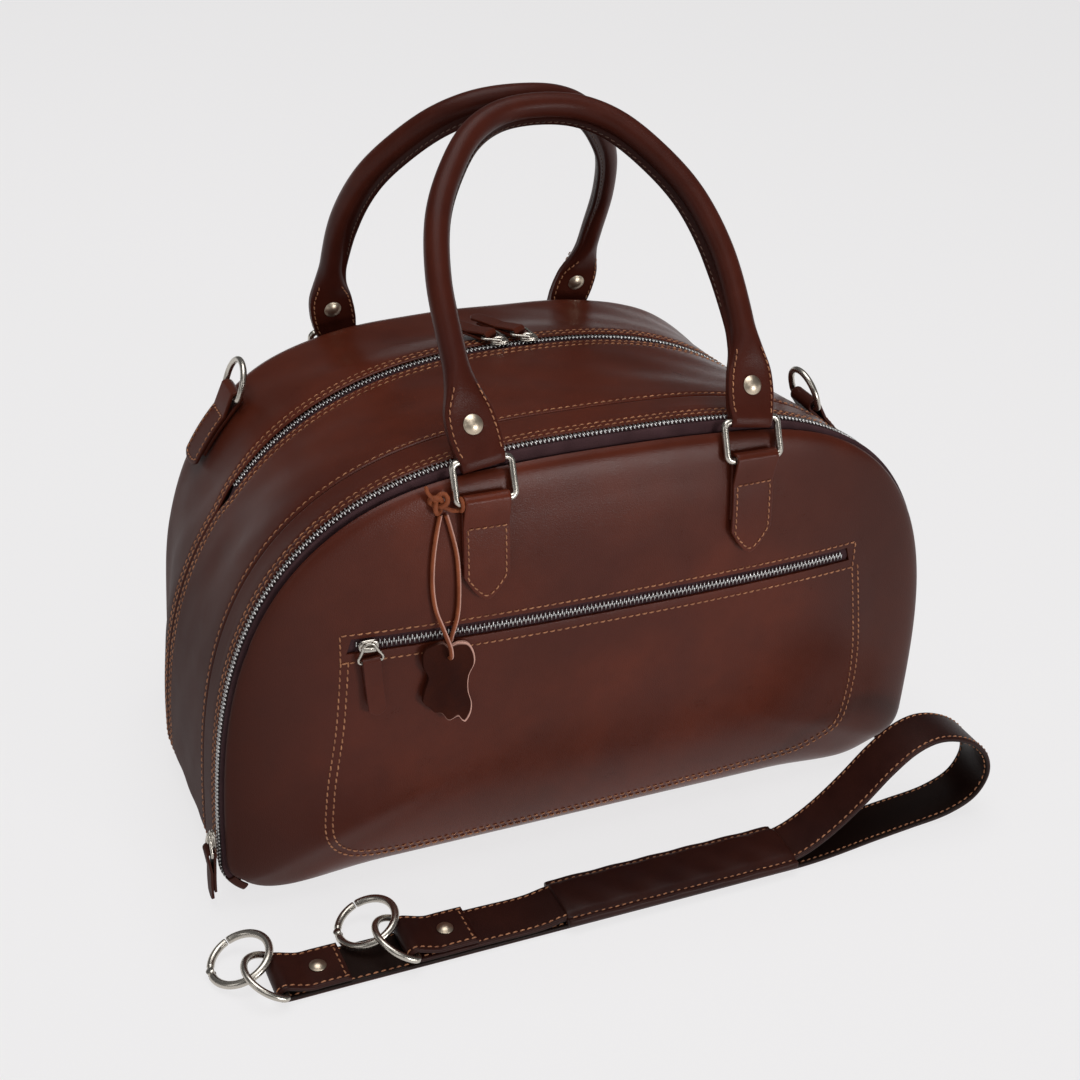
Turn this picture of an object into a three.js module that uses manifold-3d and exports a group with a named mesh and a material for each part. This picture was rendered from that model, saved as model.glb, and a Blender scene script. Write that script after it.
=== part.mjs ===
// A half-dome leather holdall with two arched handles on rings, zipped front and top,
// a zipped front pocket, a thong with a hide-shaped charm, and its shoulder strap on the floor.
// Millimetres, X along the bag's length, Y to its back, Z up, origin under the middle of the base.
import * as THREE from 'three';
import { mergeVertices } from 'three/addons/utils/BufferGeometryUtils.js';
import Module from 'manifold-3d';

// Body
const LEATHER = 2.2;
const GAP = 0.35;
const EDGE_GAP = 1.5;
const CORNER_RADIUS = 40;
const CORNER_HEIGHT = 30;
const FRONT_CORNER_Y = -120;
const BAND_FRONT_Y = -110;
const BAND_BACK_Y = -82;
const BACK_Y = 120;
const BACK_EDGE_RADIUS = 26;
const BACK_RIM_TURN = THREE.MathUtils.degToRad(70);
const BACK_RIM_Y = BACK_Y - BACK_EDGE_RADIUS * (1 - Math.sin(BACK_RIM_TURN));
const BACK_EDGE_ROWS = [BACK_Y - BACK_EDGE_RADIUS, 107, 115, BACK_RIM_Y];
// Arch of the sides and top, front to back: half length, crown height and squareness of the shoulders.
const ARCHES = [
  { y: -120, half: 230, crown: 270, power: 3.11 },
  { y: -84, half: 230, crown: 269.5, power: 2.96 },
  { y: 12, half: 229, crown: 270.5, power: 2.5 },
  { y: 92, half: 209, crown: 260, power: 3.2 },
  { y: 130, half: 210, crown: 250, power: 2.85 },
];
// Soft hollows in the leather: turn from the crown (0) to the base edge (1), depth and reach.
const HOLLOWS = [
  { turn: -0.5, y: 46, depth: 5, reachTurn: 0.1, reachY: 30 },
  { turn: 0.44, y: 52, depth: 5, reachTurn: 0.12, reachY: 28 },
  { turn: -0.13, y: 62, depth: 4, reachTurn: 0.12, reachY: 22 },
  { turn: -0.52, y: -34, depth: 3, reachTurn: 0.09, reachY: 24 },
  { turn: 0.16, y: -36, depth: 2.5, reachTurn: 0.12, reachY: 24 },
];
const SIDE_COLUMNS = { low: 7, top: 16 };
// Shares of the way from the front seam to the top zip, and from the top zip to the back edge.
const FRONT_SIDE_ROWS = [0, 0.28, 0.62, 1];
const BACK_SIDE_ROWS = [0, 0.12, 0.34, 0.67];

// Panels
const FRONT_PANEL = { middleZ: 118, rimY: -120.5, peakY: -140, inset: 10, sign: -1, power: 2,
  rings: [1, 0.98, 0.91, 0.74, 0.42, 0] };
const BACK_PANEL = { middleZ: 112, rimY: BACK_RIM_Y, peakY: 122, inset: 2.6, sign: 1, power: 1.6,
  rings: [1, 0.92, 0.64, 0] };
const RIM_DROP_FROM = 14;
const PANEL_COLUMNS = 26;
const PANEL_BOTTOM_COLUMNS = 8;

// Zips
const MAIN_ZIP_Y = 12;
const MAIN_ZIP_GAP = 7;
const MAIN_ZIP_END_Z = 200;
const MAIN_ZIP_CLOSE = 0.05;
const ZIP_STOP = 0.004;
const CHAIN_HALF = 2.6;
const TAPE = 1;
const TAPE_HALF = 9.5;
const MAIN_TAPE_DEPTH = LEATHER + 1;
const MAIN_CHAIN_RISE = 0.2;
const FRONT_ZIP = { endZ: 14, columns: 26, tapeY: -118.8, chainY: -114.6, reach: 13.5, edge: 1.2, rise: 1.9 };
const POCKET = { z: 171.5, halfLength: 160, height: 9, tapeHalf: 10, chainHalf: 2.9, chainDepth: 0.9,
  tapeDepth: LEATHER + 0.6, tape: 1.2, overlap: 6, columns: 14 };

// Handles, rings and chapes
const HANDLE_X = 82;
const RING = { width: 34, height: 22, corner: 3.5, wire: 2 };
const LOOP_LENGTH = 13;
const CHAPE_LEATHER = LEATHER - 0.2;
const WIRE_SIDES = 6;
const CHAPE = { width: 26.4, tip: 15, power: 1.6 };
// Each handle: its chapes' tip and fold heights, its lean from upright, its bend to the middle, how far its
// arch is stretched upwards and sideways, and its facing.
const HANDLES = [
  { side: 'front', tipZ: 191, barZ: 247, lean: 25.5, bend: 55, stretch: 1.049, sideways: 0.977, facing: 0 },
  { side: 'rear', tipZ: 160, barZ: 220, lean: 3.5, bend: 76, stretch: 0.975, sideways: 1, facing: Math.PI },
];
// Half of the handle's arch above the ring's lower bar.
const HANDLE_ARCH = [
  { x: HANDLE_X, h: 22 },
  { x: 88, h: 50 },
  { x: 89.5, h: 85 },
  { x: 88, h: 116 },
  { x: 79.5, h: 147 },
  { x: 64.5, h: 171 },
  { x: 46, h: 190 },
  { x: 25.5, h: 200 },
  { x: 0, h: 203 },
];
// The handle's section by its distance from the ring: half width, half thickness, squareness, and the seam's
// ridge with its turn to the bag's middle in degrees.
const HANDLE_SECTIONS = [
  { along: -4.6, width: 12.3, thick: 1.4, power: 3, ridge: 0, turn: 0 },
  { along: -3.4, width: 13, thick: 3.6, power: 4, ridge: 0, turn: 0 },
  { along: 0, width: 13.2, thick: 4.6, power: 5, ridge: 0, turn: 0 },
  { along: 7, width: 14.6, thick: 3.4, power: 5, ridge: 0, turn: 0 },
  { along: 15, width: 15, thick: 3, power: 5, ridge: 0, turn: 0 },
  { along: 29, width: 14.4, thick: 3.2, power: 4, ridge: 0, turn: 0 },
  { along: 42, width: 10, thick: 5.6, power: 2.6, ridge: 0.8, turn: 8 },
  { along: 56, width: 7.4, thick: 7, power: 2, ridge: 2.2, turn: 26 },
  { along: 92, width: 7, thick: 7, power: 2, ridge: 5.2, turn: 37 },
];
const HANDLE_SIDES = 10;
const HANDLE_STATIONS = 11;
const HANDLE_BEND_POWER = 1.6;
const RIVET = { along: 19, post: 1.8, cap: 5.6, dome: 2.4 };

// End tabs and their D-rings: the tab's depth, the turn of its bar and the ring's lean from upright
const END_TABS = [
  { name: 'left', y: 80, side: -1, lean: 18 },
  { name: 'right', y: -48, side: 1, lean: 18 },
];
const END_TAB = { width: 22, length: 50, barTurn: 0.39, tip: 4, power: 3, clear: 1, lift: 1.2, columns: 3 };
const END_RING = { width: 30, height: 21, wire: 2 };

// Charm: a thong knotted beside the front left ring, and a hide-shaped piece of leather on it
const THONG = { radius: 1.25, sides: 8, steps: 34 };
const KNOT = { x: -105.6, z: 246, radius: 3.4, height: 4.4, stretch: 1.1 };
const HIDE = { x: -103.5, topZ: 168, width: 28, length: 52, thick: 2.2, height: 4.4 };
const HIDE_HOLE = { drop: 8, radius: 3.3 };
// The thong's route from the knot down, through the hide's hole and back: length, height and
// distance off the panel.
const THONG_ROUTE = [
  { x: -107, z: 242, off: 3.4 },
  { x: -109, z: 234, off: 2.4 },
  { x: -111.8, z: 218, off: 2.2 },
  { x: -112.4, z: 202, off: 2.2 },
  { x: -110.6, z: 188, off: 2.6 },
  { x: -107, z: 176.4, off: 6.4 },
  { x: -104.4, z: 167.5, off: 9.6 },
  { x: -103.7, z: 162, off: 9.2 },
  { x: -103.5, z: 159.4, off: 5.6 },
  { x: -103, z: 162, off: 2.1 },
  { x: -101.4, z: 170, off: 1.9 },
  { x: -98.4, z: 182, off: 2.1 },
  { x: -97.5, z: 196, off: 2.2 },
  { x: -98.4, z: 218, off: 2.2 },
  { x: -101.6, z: 234, off: 2.4 },
  { x: -103.8, z: 242, off: 3.4 },
];
// Right half of the hide's outline, from its neck to its tail, as shares of half its width and of its length.
const HIDE_OUTLINE = [
  { across: 0.22, down: 0 },
  { across: 0.3, down: 0.13 },
  { across: 0.72, down: 0.05 },
  { across: 1, down: 0.17 },
  { across: 0.72, down: 0.34 },
  { across: 0.66, down: 0.58 },
  { across: 0.98, down: 0.78 },
  { across: 0.84, down: 0.95 },
  { across: 0.36, down: 0.86 },
  { across: 0.14, down: 1 },
];

// Strap, folded in two on the floor in front of the bag, with a spring-gate ring on each end
const STRAP = { width: 30, thick: 3.2, y: -191.5, drift: 8, driftFrom: 100, driftTo: 200 };
const LOW_Z = STRAP.thick / 2;
const HIGH_Z = LOW_Z + STRAP.thick + GAP;
const FLAP = { length: 37, settle: 14 };
const STRAP_TURN = 4;
const LOW_BAR_X = -218;
const HIGH_BAR_X = -143;
const PAD = { x0: -51, x1: 101, width: 38, low: 3.6, high: 12.6, edge: 5.4, edgeHeight: 3, under: 3, over: 6,
  slotWidth: 31, slotHeight: 4.4 };
const PAD_Z = 8.1;
// The standing loop at the strap's fold, from the floor round to the pad.
const STRAP_LOOP = [
  { x: 100, z: LOW_Z },
  { x: 150, z: LOW_Z },
  { x: 192, z: 2.4 },
  { x: 222, z: 6.5 },
  { x: 238.5, z: 15 },
  { x: 245, z: 29 },
  { x: 242, z: 43 },
  { x: 232, z: 55 },
  { x: 217, z: 63.5 },
  { x: 201, z: 66.5 },
  { x: 185, z: 62.5 },
  { x: 168, z: 51.5 },
  { x: 151, z: 37 },
  { x: 135, z: 25 },
  { x: 121, z: 16.5 },
  { x: 109.5, z: 11 },
  { x: 101, z: PAD_Z + 0.4 },
];
const STRAP_RING = { width: 35.5, height: 21, wire: 2, lift: 27 };
const STRAP_RIVET = { post: 1.8, cap: 4.8, dome: 2, foot: 0.6, fromBar: 22 };
// Clasp rings: centre, and the heading and steepness of their tilt in degrees
const CLASPS = [
  { name: 'left', center: [-235, -174, 9.1], heading: 1, tilt: 21 },
  { name: 'right', center: [-161.4, -173, 11.9], heading: -5, tilt: 20.6 },
];
const CLASP = { radius: 17.2, wire: 2.3 };
const GATE = { freeAngle: 100, pivotAngle: 175, eye: 2.1, eyeHeight: 2, slot: 2.75, slotHeight: 2.7,
  pin: 0.75, end: 0.4, neckWidth: 2.4, neckLength: 4.8, splitTurn: 145, lap: 3, overrun: 8 };

const BROWN = 0x3f2218;
const DARK_BROWN = 0x2c1a14;
const FINISHES = {
  leather: { color: BROWN, roughness: 0.5, metalness: 0 },
  strap: { color: DARK_BROWN, roughness: 0.6, metalness: 0 },
  suede: { color: 0x241c1a, roughness: 0.95, metalness: 0 },
  tape: { color: 0x2b2029, roughness: 0.9, metalness: 0 },
  nickel: { color: 0xc9c8c4, roughness: 0.25, metalness: 1 },
};

const wasm = await Module();
wasm.setup();
const bag = new THREE.Group();
const vector = (x, y, z) => new THREE.Vector3(x, y, z);
const clamp01 = (t) => Math.min(1, Math.max(0, t));
const ease = (low, high, value) => {
  const t = clamp01((value - low) / (high - low));
  return t * t * (3 - 2 * t);
};

function addPiece(parent, name, geometry, finish) {
  const mesh = new THREE.Mesh(geometry, new THREE.MeshStandardMaterial(FINISHES[finish]));
  mesh.name = name;
  parent.add(mesh);
  return mesh;
}

// A closed body from points and triangles, turned so that its faces point out.
function closedBody(points, triangles) {
  let volume = 0;
  const kept = triangles.filter(([a, b, c]) => {
    const [p, q, r] = [points[a], points[b], points[c]];
    return p.distanceTo(q) > 1e-4 && q.distanceTo(r) > 1e-4 && r.distanceTo(p) > 1e-4;
  });
  for (const [a, b, c] of kept) {
    volume += points[a].dot(vector().crossVectors(points[b], points[c]));
  }
  const faces = volume < 0 ? kept.map(([a, b, c]) => [a, c, b]) : kept;
  const geometry = new THREE.BufferGeometry().setFromPoints(points);
  geometry.setIndex(faces.flat());
  return geometry;
}

// Unit normals of a grid of points, from its neighbours along and across.
function gridNormals(grid, closed) {
  const columns = grid[0].length;
  const at = (row, column) => {
    if (closed) return row[(column + columns) % columns];
    return row[Math.min(columns - 1, Math.max(0, column))];
  };
  return grid.map((row, i) => {
    const before = grid[Math.max(0, i - 1)];
    const after = grid[Math.min(grid.length - 1, i + 1)];
    const pole = row[0].distanceTo(row[1]) < 1e-6;
    const ring = pole ? before : row;
    const normals = row.map((_, j) => {
      const along = vector().subVectors(after[j], before[j]);
      const across = vector().subVectors(at(ring, j + 1), at(ring, j - 1));
      return across.cross(along).normalize();
    });
    const mean = normals.reduce((sum, normal) => sum.add(normal), vector()).normalize();
    return pole ? normals.map(() => mean) : normals;
  });
}

// A wall between two offsets of a grid, with its rims closed.
// A closed grid joins its last column to its first.
function wall(grid, from, to, closed = false) {
  const normals = gridNormals(grid, closed);
  const columns = grid[0].length;
  const points = [];
  for (const offset of [from, to]) {
    grid.forEach((row, i) => row.forEach((point, j) => {
      points.push(point.clone().addScaledVector(normals[i][j], offset));
    }));
  }
  const layer = grid.length * columns;
  const last = closed ? columns : columns - 1;
  const triangles = [];
  const quad = (a, b, c, d) => triangles.push([a, b, c], [a, c, d]);
  const index = (i, j) => i * columns + (j % columns);
  for (let i = 0; i < grid.length - 1; i++) {
    for (let j = 0; j < last; j++) {
      const corners = [index(i, j), index(i, j + 1), index(i + 1, j + 1), index(i + 1, j)];
      quad(...corners);
      quad(...corners.map((k) => k + layer).reverse());
    }
  }
  const rim = (a, b) => quad(b, a, a + layer, b + layer);
  for (let j = 0; j < last; j++) {
    rim(index(0, j), index(0, j + 1));
    rim(index(grid.length - 1, j + 1), index(grid.length - 1, j));
  }
  for (let i = 0; i < grid.length - 1 && !closed; i++) {
    rim(index(i + 1, 0), index(i, 0));
    rim(index(i, columns - 1), index(i + 1, columns - 1));
  }
  return mergedBody(points, triangles);
}

// Points that fall together, as at a dome's pole, become one before the body is closed.
function mergedBody(points, triangles) {
  const first = new Map();
  const same = points.map((p, i) => {
    const key = p.toArray().map((c) => Math.round(c * 1e4)).join();
    if (!first.has(key)) first.set(key, i);
    return first.get(key);
  });
  return closedBody(points, triangles.map((t) => t.map((i) => same[i])));
}

// A body through rings of equally many points. Open ends are capped, a closed run joins its ends.
function loft(rings, closed = false, section = null) {
  const sides = rings[0].length;
  const points = rings.flat();
  const triangles = [];
  const spans = closed ? rings.length : rings.length - 1;
  for (let i = 0; i < spans; i++) {
    const next = (i + 1) % rings.length;
    for (let j = 0; j < sides; j++) {
      const k = (j + 1) % sides;
      const [a, b] = [i * sides + j, i * sides + k];
      const [c, d] = [next * sides + k, next * sides + j];
      triangles.push([a, b, c], [a, c, d]);
    }
  }
  if (!closed) {
    const flat = section ?? Array.from({ length: sides }, (_, j) => {
      const angle = (2 * Math.PI * j) / sides;
      return new THREE.Vector2(Math.cos(angle), Math.sin(angle));
    });
    const end = (rings.length - 1) * sides;
    for (const [a, b, c] of THREE.ShapeUtils.triangulateShape(flat, [])) {
      triangles.push([a, c, b], [end + a, end + b, end + c]);
    }
  }
  return closedBody(points, triangles);
}

// A round wire along points in one plane, whose normal is given.
function wire(path, planeNormal, radius, sides, closed) {
  const count = path.length;
  const rings = path.map((point, i) => {
    const before = closed ? path[(i + count - 1) % count] : path[Math.max(0, i - 1)];
    const after = closed ? path[(i + 1) % count] : path[Math.min(count - 1, i + 1)];
    const side = vector().subVectors(after, before).cross(planeNormal).normalize();
    return Array.from({ length: sides }, (_, j) => {
      const angle = (2 * Math.PI * j) / sides;
      const ringPoint = point.clone().addScaledVector(side, radius * Math.cos(angle));
      return ringPoint.addScaledVector(planeNormal, radius * Math.sin(angle));
    });
  });
  return loft(rings, closed);
}

function toSolid(geometry) {
  const bare = new THREE.BufferGeometry();
  const source = geometry.index ? geometry.toNonIndexed() : geometry;
  bare.setAttribute('position', source.getAttribute('position'));
  const merged = mergeVertices(bare, 1e-4);
  const vertProperties = new Float32Array(merged.attributes.position.array);
  const triVerts = new Uint32Array(merged.index.array);
  return new wasm.Manifold(new wasm.Mesh({ numProp: 3, vertProperties, triVerts }));
}

function toGeometry(solid) {
  const { vertProperties, triVerts } = solid.getMesh();
  const geometry = new THREE.BufferGeometry();
  geometry.setAttribute('position', new THREE.BufferAttribute(new Float32Array(vertProperties), 3));
  geometry.setIndex(Array.from(triVerts));
  return geometry;
}

const cut = (body, ...tools) => {
  return toGeometry(tools.reduce((solid, tool) => solid.subtract(toSolid(tool)), toSolid(body)));
};
const join = (...bodies) => toGeometry(bodies.map(toSolid).reduce((all, next) => all.add(next)));

// A bar of a given radius about an axis through a point.
function bar(center, axis, radius, length, sides = 12) {
  const turn = new THREE.Quaternion().setFromUnitVectors(vector(0, 1, 0), axis.clone().normalize());
  const geometry = new THREE.CylinderGeometry(radius, radius, length, sides);
  return geometry.applyQuaternion(turn).translate(center.x, center.y, center.z);
}

// A tubular rivet: a post with a domed cap at each end, about an axis through its middle.
function rivet(center, axis, grip, { post, cap, dome }) {
  const half = grip / 2;
  const profile = [
    [0, half + dome],
    [cap * 0.62, half + dome * 0.72],
    [cap, half],
    [post, half],
  ];
  const lower = profile.map(([r, y]) => [r, -y]).reverse();
  const points = [...profile, ...lower].reverse().map(([r, y]) => new THREE.Vector2(r, y));
  const turn = new THREE.Quaternion().setFromUnitVectors(vector(0, 1, 0), axis.clone().normalize());
  const body = new THREE.LatheGeometry(points, 8).applyQuaternion(turn);
  return body.translate(center.x, center.y, center.z);
}

// The arch's sizes at a depth, eased from one row of the table to the next.
function archSizes(y) {
  const row = Math.max(0, ARCHES.findIndex((arch) => arch.y >= y) - 1);
  const [low, high] = [ARCHES[row], ARCHES[row + 1]];
  const t = ease(low.y, high.y, y);
  const mix = (key) => low[key] + (high[key] - low[key]) * t;
  return { half: mix('half'), crown: mix('crown'), power: mix('power') };
}

// How far the back edge's rounding draws the section in at a depth.
function tuck(y) {
  const into = Math.max(0, y - (BACK_Y - BACK_EDGE_RADIUS));
  return BACK_EDGE_RADIUS - Math.sqrt(BACK_EDGE_RADIUS ** 2 - into ** 2);
}

// Half an arch at a depth, from the crown to the base edge, with its running length.
const halfArches = new Map();
function halfArch(y) {
  if (halfArches.has(y)) return halfArches.get(y);
  const { half, crown, power } = archSizes(y);
  const line = [];
  const steps = 300;
  for (let i = 0; i <= steps; i++) {
    const fromEnd = Math.min(i, steps - i) / steps;
    const even = (Math.PI / 4) * (2 * fromEnd) ** (power / 2);
    const angle = 2 * i <= steps ? even : Math.PI / 2 - even;
    const x = half * Math.sin(angle) ** (2 / power);
    const z = CORNER_HEIGHT + (crown - CORNER_HEIGHT) * Math.max(0, Math.cos(angle)) ** (2 / power);
    line.push(new THREE.Vector2(x, z));
  }
  for (let i = 1; i <= 40; i++) {
    const angle = (Math.PI / 2) * (i / 40);
    const x = half - CORNER_RADIUS * (1 - Math.cos(angle));
    line.push(new THREE.Vector2(x, CORNER_HEIGHT * (1 - Math.sin(angle))));
  }
  const lengths = [0];
  for (let i = 1; i < line.length; i++) lengths.push(lengths[i - 1] + line[i].distanceTo(line[i - 1]));
  const arch = { line, lengths, total: lengths.at(-1) };
  halfArches.set(y, arch);
  return arch;
}

// A point of the arch at a turn, -1 at the left base edge, 0 at the crown and 1 at the right base edge,
// with its outward normal in the section.
function archPoint(y, turn) {
  const { line, lengths, total } = halfArch(y);
  const want = Math.min(1, Math.abs(turn)) * total;
  let i = lengths.findIndex((length) => length >= want);
  i = Math.max(1, i);
  const t = (want - lengths[i - 1]) / (lengths[i] - lengths[i - 1]);
  const point = line[i - 1].clone().lerp(line[i], t);
  const [a, b] = [line[Math.max(0, i - 4)], line[Math.min(line.length - 1, i + 3)]];
  const normal = new THREE.Vector2(a.y - b.y, b.x - a.x).normalize();
  if (turn === 0) normal.set(0, 1);
  const side = turn < 0 ? -1 : 1;
  return { x: side * point.x, z: point.y, nx: side * normal.x, nz: normal.y };
}

// A point of the outer skin of the sides and top, with the soft hollows, moved out by lift.
function skin(y, turn, lift = 0) {
  const { x, z, nx, nz } = archPoint(y, turn);
  let depth = tuck(y) - lift;
  for (const hollow of HOLLOWS) {
    const far = ((turn - hollow.turn) / hollow.reachTurn) ** 2 + ((y - hollow.y) / hollow.reachY) ** 2;
    depth += hollow.depth * Math.exp(-far);
  }
  return vector(x - depth * nx, y, z - depth * nz);
}

// The turn at which the arch at a depth comes down to a height.
function turnAtHeight(y, z) {
  let [low, high] = [0, 1];
  for (let i = 0; i < 40; i++) {
    const middle = (low + high) / 2;
    if (archPoint(y, middle).z > z) low = middle;
    else high = middle;
  }
  return low;
}

const spread = (count, from, to) => {
  return Array.from({ length: count + 1 }, (_, i) => from + ((to - from) * i) / count);
};

// A leather strip of the sides and top between two edges, each a depth for every turn.
function sideStrip(depths, turns) {
  const grid = depths.map((depth) => turns.map((turn) => skin(depth(turn), turn)));
  return wall(grid, 0, outward(grid) * -LEATHER);
}

// Whether a grid's normals point away from the bag's middle: 1 if so, -1 if not.
function outward(grid, middle = vector(0, 0, 110), closed = false) {
  const [i, j] = [Math.floor(grid.length / 2), Math.floor(grid[0].length / 2)];
  const normal = gridNormals(grid, closed)[i][j];
  return Math.sign(normal.dot(vector().subVectors(grid[i][j], middle)));
}

// A domed panel's rim: round the arch, then back along the base, its lower stretch drawn to the base's edge.
function panelRim(panel, archY, lowY) {
  const rim = [];
  const drawn = tuck(archY);
  const low = turnAtHeight(archY, RIM_DROP_FROM);
  const middle = spread(PANEL_COLUMNS, -low, low).slice(1, -1);
  const turns = [...spread(2, -1, -low), ...middle, ...spread(2, low, 1)];
  for (const turn of turns) {
    const { x, z, nx, nz } = archPoint(archY, turn);
    const rise = lowY === null ? 1 : ease(1, RIM_DROP_FROM, z);
    const inset = drawn + GAP + (panel.inset - GAP) * rise;
    const y = lowY === null ? panel.rimY : lowY + (panel.rimY - lowY) * rise;
    rim.push(vector(x - inset * nx, y, Math.max(z - inset * nz, drawn)));
  }
  const [first, last] = [rim[0], rim.at(-1)];
  for (let i = 1; i < PANEL_BOTTOM_COLUMNS; i++) {
    rim.push(last.clone().lerp(first, i / PANEL_BOTTOM_COLUMNS));
  }
  return rim;
}

// A point of a domed panel on the way from its rim (1) to its middle (0).
function domePoint(panel, rimPoint, r) {
  const swell = (1 - r ** panel.power) ** (1 / panel.power);
  const y = rimPoint.y + (panel.peakY - rimPoint.y) * swell;
  return vector(rimPoint.x * r, y, panel.middleZ + (rimPoint.z - panel.middleZ) * r);
}

function domedPanel(panel, rim) {
  const grid = panel.rings.map((r) => rim.map((rimPoint) => domePoint(panel, rimPoint, r)));
  const probe = gridNormals(grid, true)[2][0];
  const out = Math.sign(probe.y * panel.sign);
  return wall(grid, 0, -out * LEATHER, true);
}

// The depth of a domed panel's outer face at a length and height.
function panelY(panel, rim, x, z) {
  const angle = (px, pz) => Math.atan2(px, pz - panel.middleZ);
  const turned = (from, to) => Math.atan2(Math.sin(to - from), Math.cos(to - from));
  const want = angle(x, z);
  for (let i = 0; i < rim.length; i++) {
    const [a, b] = [rim[i], rim[(i + 1) % rim.length]];
    const from = angle(a.x, a.z);
    const [d, w] = [turned(from, angle(b.x, b.z)), turned(from, want)];
    if (d > 0 && w >= 0 && w <= d) {
      const edge = a.clone().lerp(b, w / d);
      const r = Math.hypot(x, z - panel.middleZ) / Math.hypot(edge.x, edge.z - panel.middleZ);
      return domePoint(panel, edge, Math.min(1, r)).y;
    }
  }
  return panel.rimY;
}

// A point above a domed panel's face.
function abovePanel(panel, rim, x, z, height) {
  const step = 1;
  const at = (px, pz) => panelY(panel, rim, px, pz);
  const slopeX = (at(x + step, z) - at(x - step, z)) / (2 * step);
  const slopeZ = (at(x, z + step) - at(x, z - step)) / (2 * step);
  const normal = vector(-slopeX, 1, -slopeZ).normalize().multiplyScalar(panel.sign);
  return vector(x, at(x, z), z).addScaledVector(normal, height);
}

// A leather tab folded round a bar: two leaves on a surface, with a pointed or rounded front leaf.
// place(u, v, h) gives the point u along, v across and h above the surface, and the bar is at u = length.
// Near the bar the tab leaves the surface for a straight frame, so that the bar's bore is true.
function foldedTab(place, across, { width, length, tip, power, wireRadius, thick, clear, lift, columns }) {
  const turnRadius = wireRadius + 1.4 * GAP + thick / 2;
  const low = clear + thick / 2;
  const barHeight = low + lift + turnRadius;
  const origin = place(length, 0, 0);
  const out = place(length, 0, 1).sub(origin);
  const along = vector().crossVectors(out, across).normalize();
  along.multiplyScalar(Math.sign(along.dot(place(length, 0, 0).sub(place(length - 1, 0, 0)))));
  const straight = (u, v, h) => {
    const point = origin.clone().addScaledVector(along, u - length);
    return point.addScaledVector(across, v).addScaledVector(out, h);
  };
  const loopFrom = length - LOOP_LENGTH;
  const backStart = length * 0.12 + tip;
  const rows = [backStart, (backStart + loopFrom) / 2, loopFrom].map((u) => () => [u, low]);
  for (const degrees of [-90, -45, 0, 45, 90]) {
    const angle = THREE.MathUtils.degToRad(degrees);
    const [u, h] = [length + turnRadius * Math.cos(angle), barHeight + turnRadius * Math.sin(angle)];
    rows.push(() => [u, h]);
  }
  const front = low + thick + GAP;
  const end = (v) => tip * Math.abs((2 * v) / width) ** power;
  for (const share of [0, 0.4, 0.75, 1]) rows.push((v) => [loopFrom + (end(v) - loopFrom) * share, front]);
  const grid = rows.map((row) => spread(columns, -width / 2, width / 2).map((v) => {
    const [u, h] = row(v);
    return place(u, v, h).lerp(straight(u, v, h), ease(loopFrom, length - 3, u));
  }));
  return { geometry: wall(grid, -thick / 2, thick / 2), bar: straight(length, 0, barHeight) };
}

// Points of a D-ring in its own plane: a straight bar on the first axis, bowed along the second.
const D_CORNER = 2.5;
function dRingPath(center, along, out, width, height) {
  const half = width / 2;
  const arc = spread(8, 0, Math.PI).map((angle) => {
    return [half * Math.cos(angle), Math.max(D_CORNER, height - half * (1 - Math.sin(angle)))];
  });
  const corners = [[half - D_CORNER, 0], ...arc, [D_CORNER - half, 0], [0, 0]];
  return corners.map(([a, b]) => center.clone().addScaledVector(along, a).addScaledVector(out, b));
}

// The base, flat on the floor and turned up at its back edge.
const taperDepths = BACK_SIDE_ROWS.map((share) => MAIN_ZIP_Y + share * (BACK_EDGE_ROWS[0] - MAIN_ZIP_Y));
const sideDepths = [BAND_FRONT_Y, -40, ...taperDepths, ...BACK_EDGE_ROWS];
const baseEdge = (y) => archSizes(y).half - CORNER_RADIUS - EDGE_GAP;
const baseGrid = sideDepths.map((y) => spread(2, -1, 1).map((t) => vector(t * baseEdge(y), y, tuck(y))));
addPiece(bag, 'base', wall(baseGrid, 0, -outward(baseGrid, vector(0, 0, 60)) * LEATHER), 'leather');

// The front panel, with the pocket zip's slot cut through it.
const frontRim = panelRim(FRONT_PANEL, FRONT_CORNER_Y, BAND_FRONT_Y - EDGE_GAP);
const slot = new THREE.BoxGeometry(2 * POCKET.halfLength, 60, POCKET.height);
slot.translate(0, FRONT_PANEL.peakY, POCKET.z);
addPiece(bag, 'front_panel', cut(domedPanel(FRONT_PANEL, frontRim), slot), 'leather');
const aboveFront = (x, z, height) => abovePanel(FRONT_PANEL, frontRim, x, z, height);

const backRim = panelRim(BACK_PANEL, BACK_RIM_Y, null);
addPiece(bag, 'back_panel', domedPanel(BACK_PANEL, backRim), 'leather');
const aboveBack = (x, z, height) => abovePanel(BACK_PANEL, backRim, x, z, height);

// The sides and top: a band behind the front zip, then a strip on each side of the top zip.
const mainZipTurn = turnAtHeight(MAIN_ZIP_Y, MAIN_ZIP_END_Z);
const zipOpen = (turn) => 1 - ease(mainZipTurn, mainZipTurn + MAIN_ZIP_CLOSE, Math.abs(turn));
const sideTurns = [
  ...spread(SIDE_COLUMNS.low, -1, -mainZipTurn - MAIN_ZIP_CLOSE),
  ...spread(SIDE_COLUMNS.top, -mainZipTurn, mainZipTurn),
  ...spread(SIDE_COLUMNS.low, mainZipTurn + MAIN_ZIP_CLOSE, 1),
];
const zipEdge = (turn) => Math.max(GAP, MAIN_ZIP_GAP * zipOpen(turn));
const constant = (y) => () => y;
const between = (from, to, share) => (turn) => from(turn) + (to(turn) - from(turn)) * share;
const bandRows = [BAND_FRONT_Y, BAND_BACK_Y - GAP].map(constant);
addPiece(bag, 'front_band', sideStrip(bandRows, sideTurns), 'leather');
const frontSeam = constant(BAND_BACK_Y);
const frontZipEdge = (turn) => MAIN_ZIP_Y - zipEdge(turn);
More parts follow.
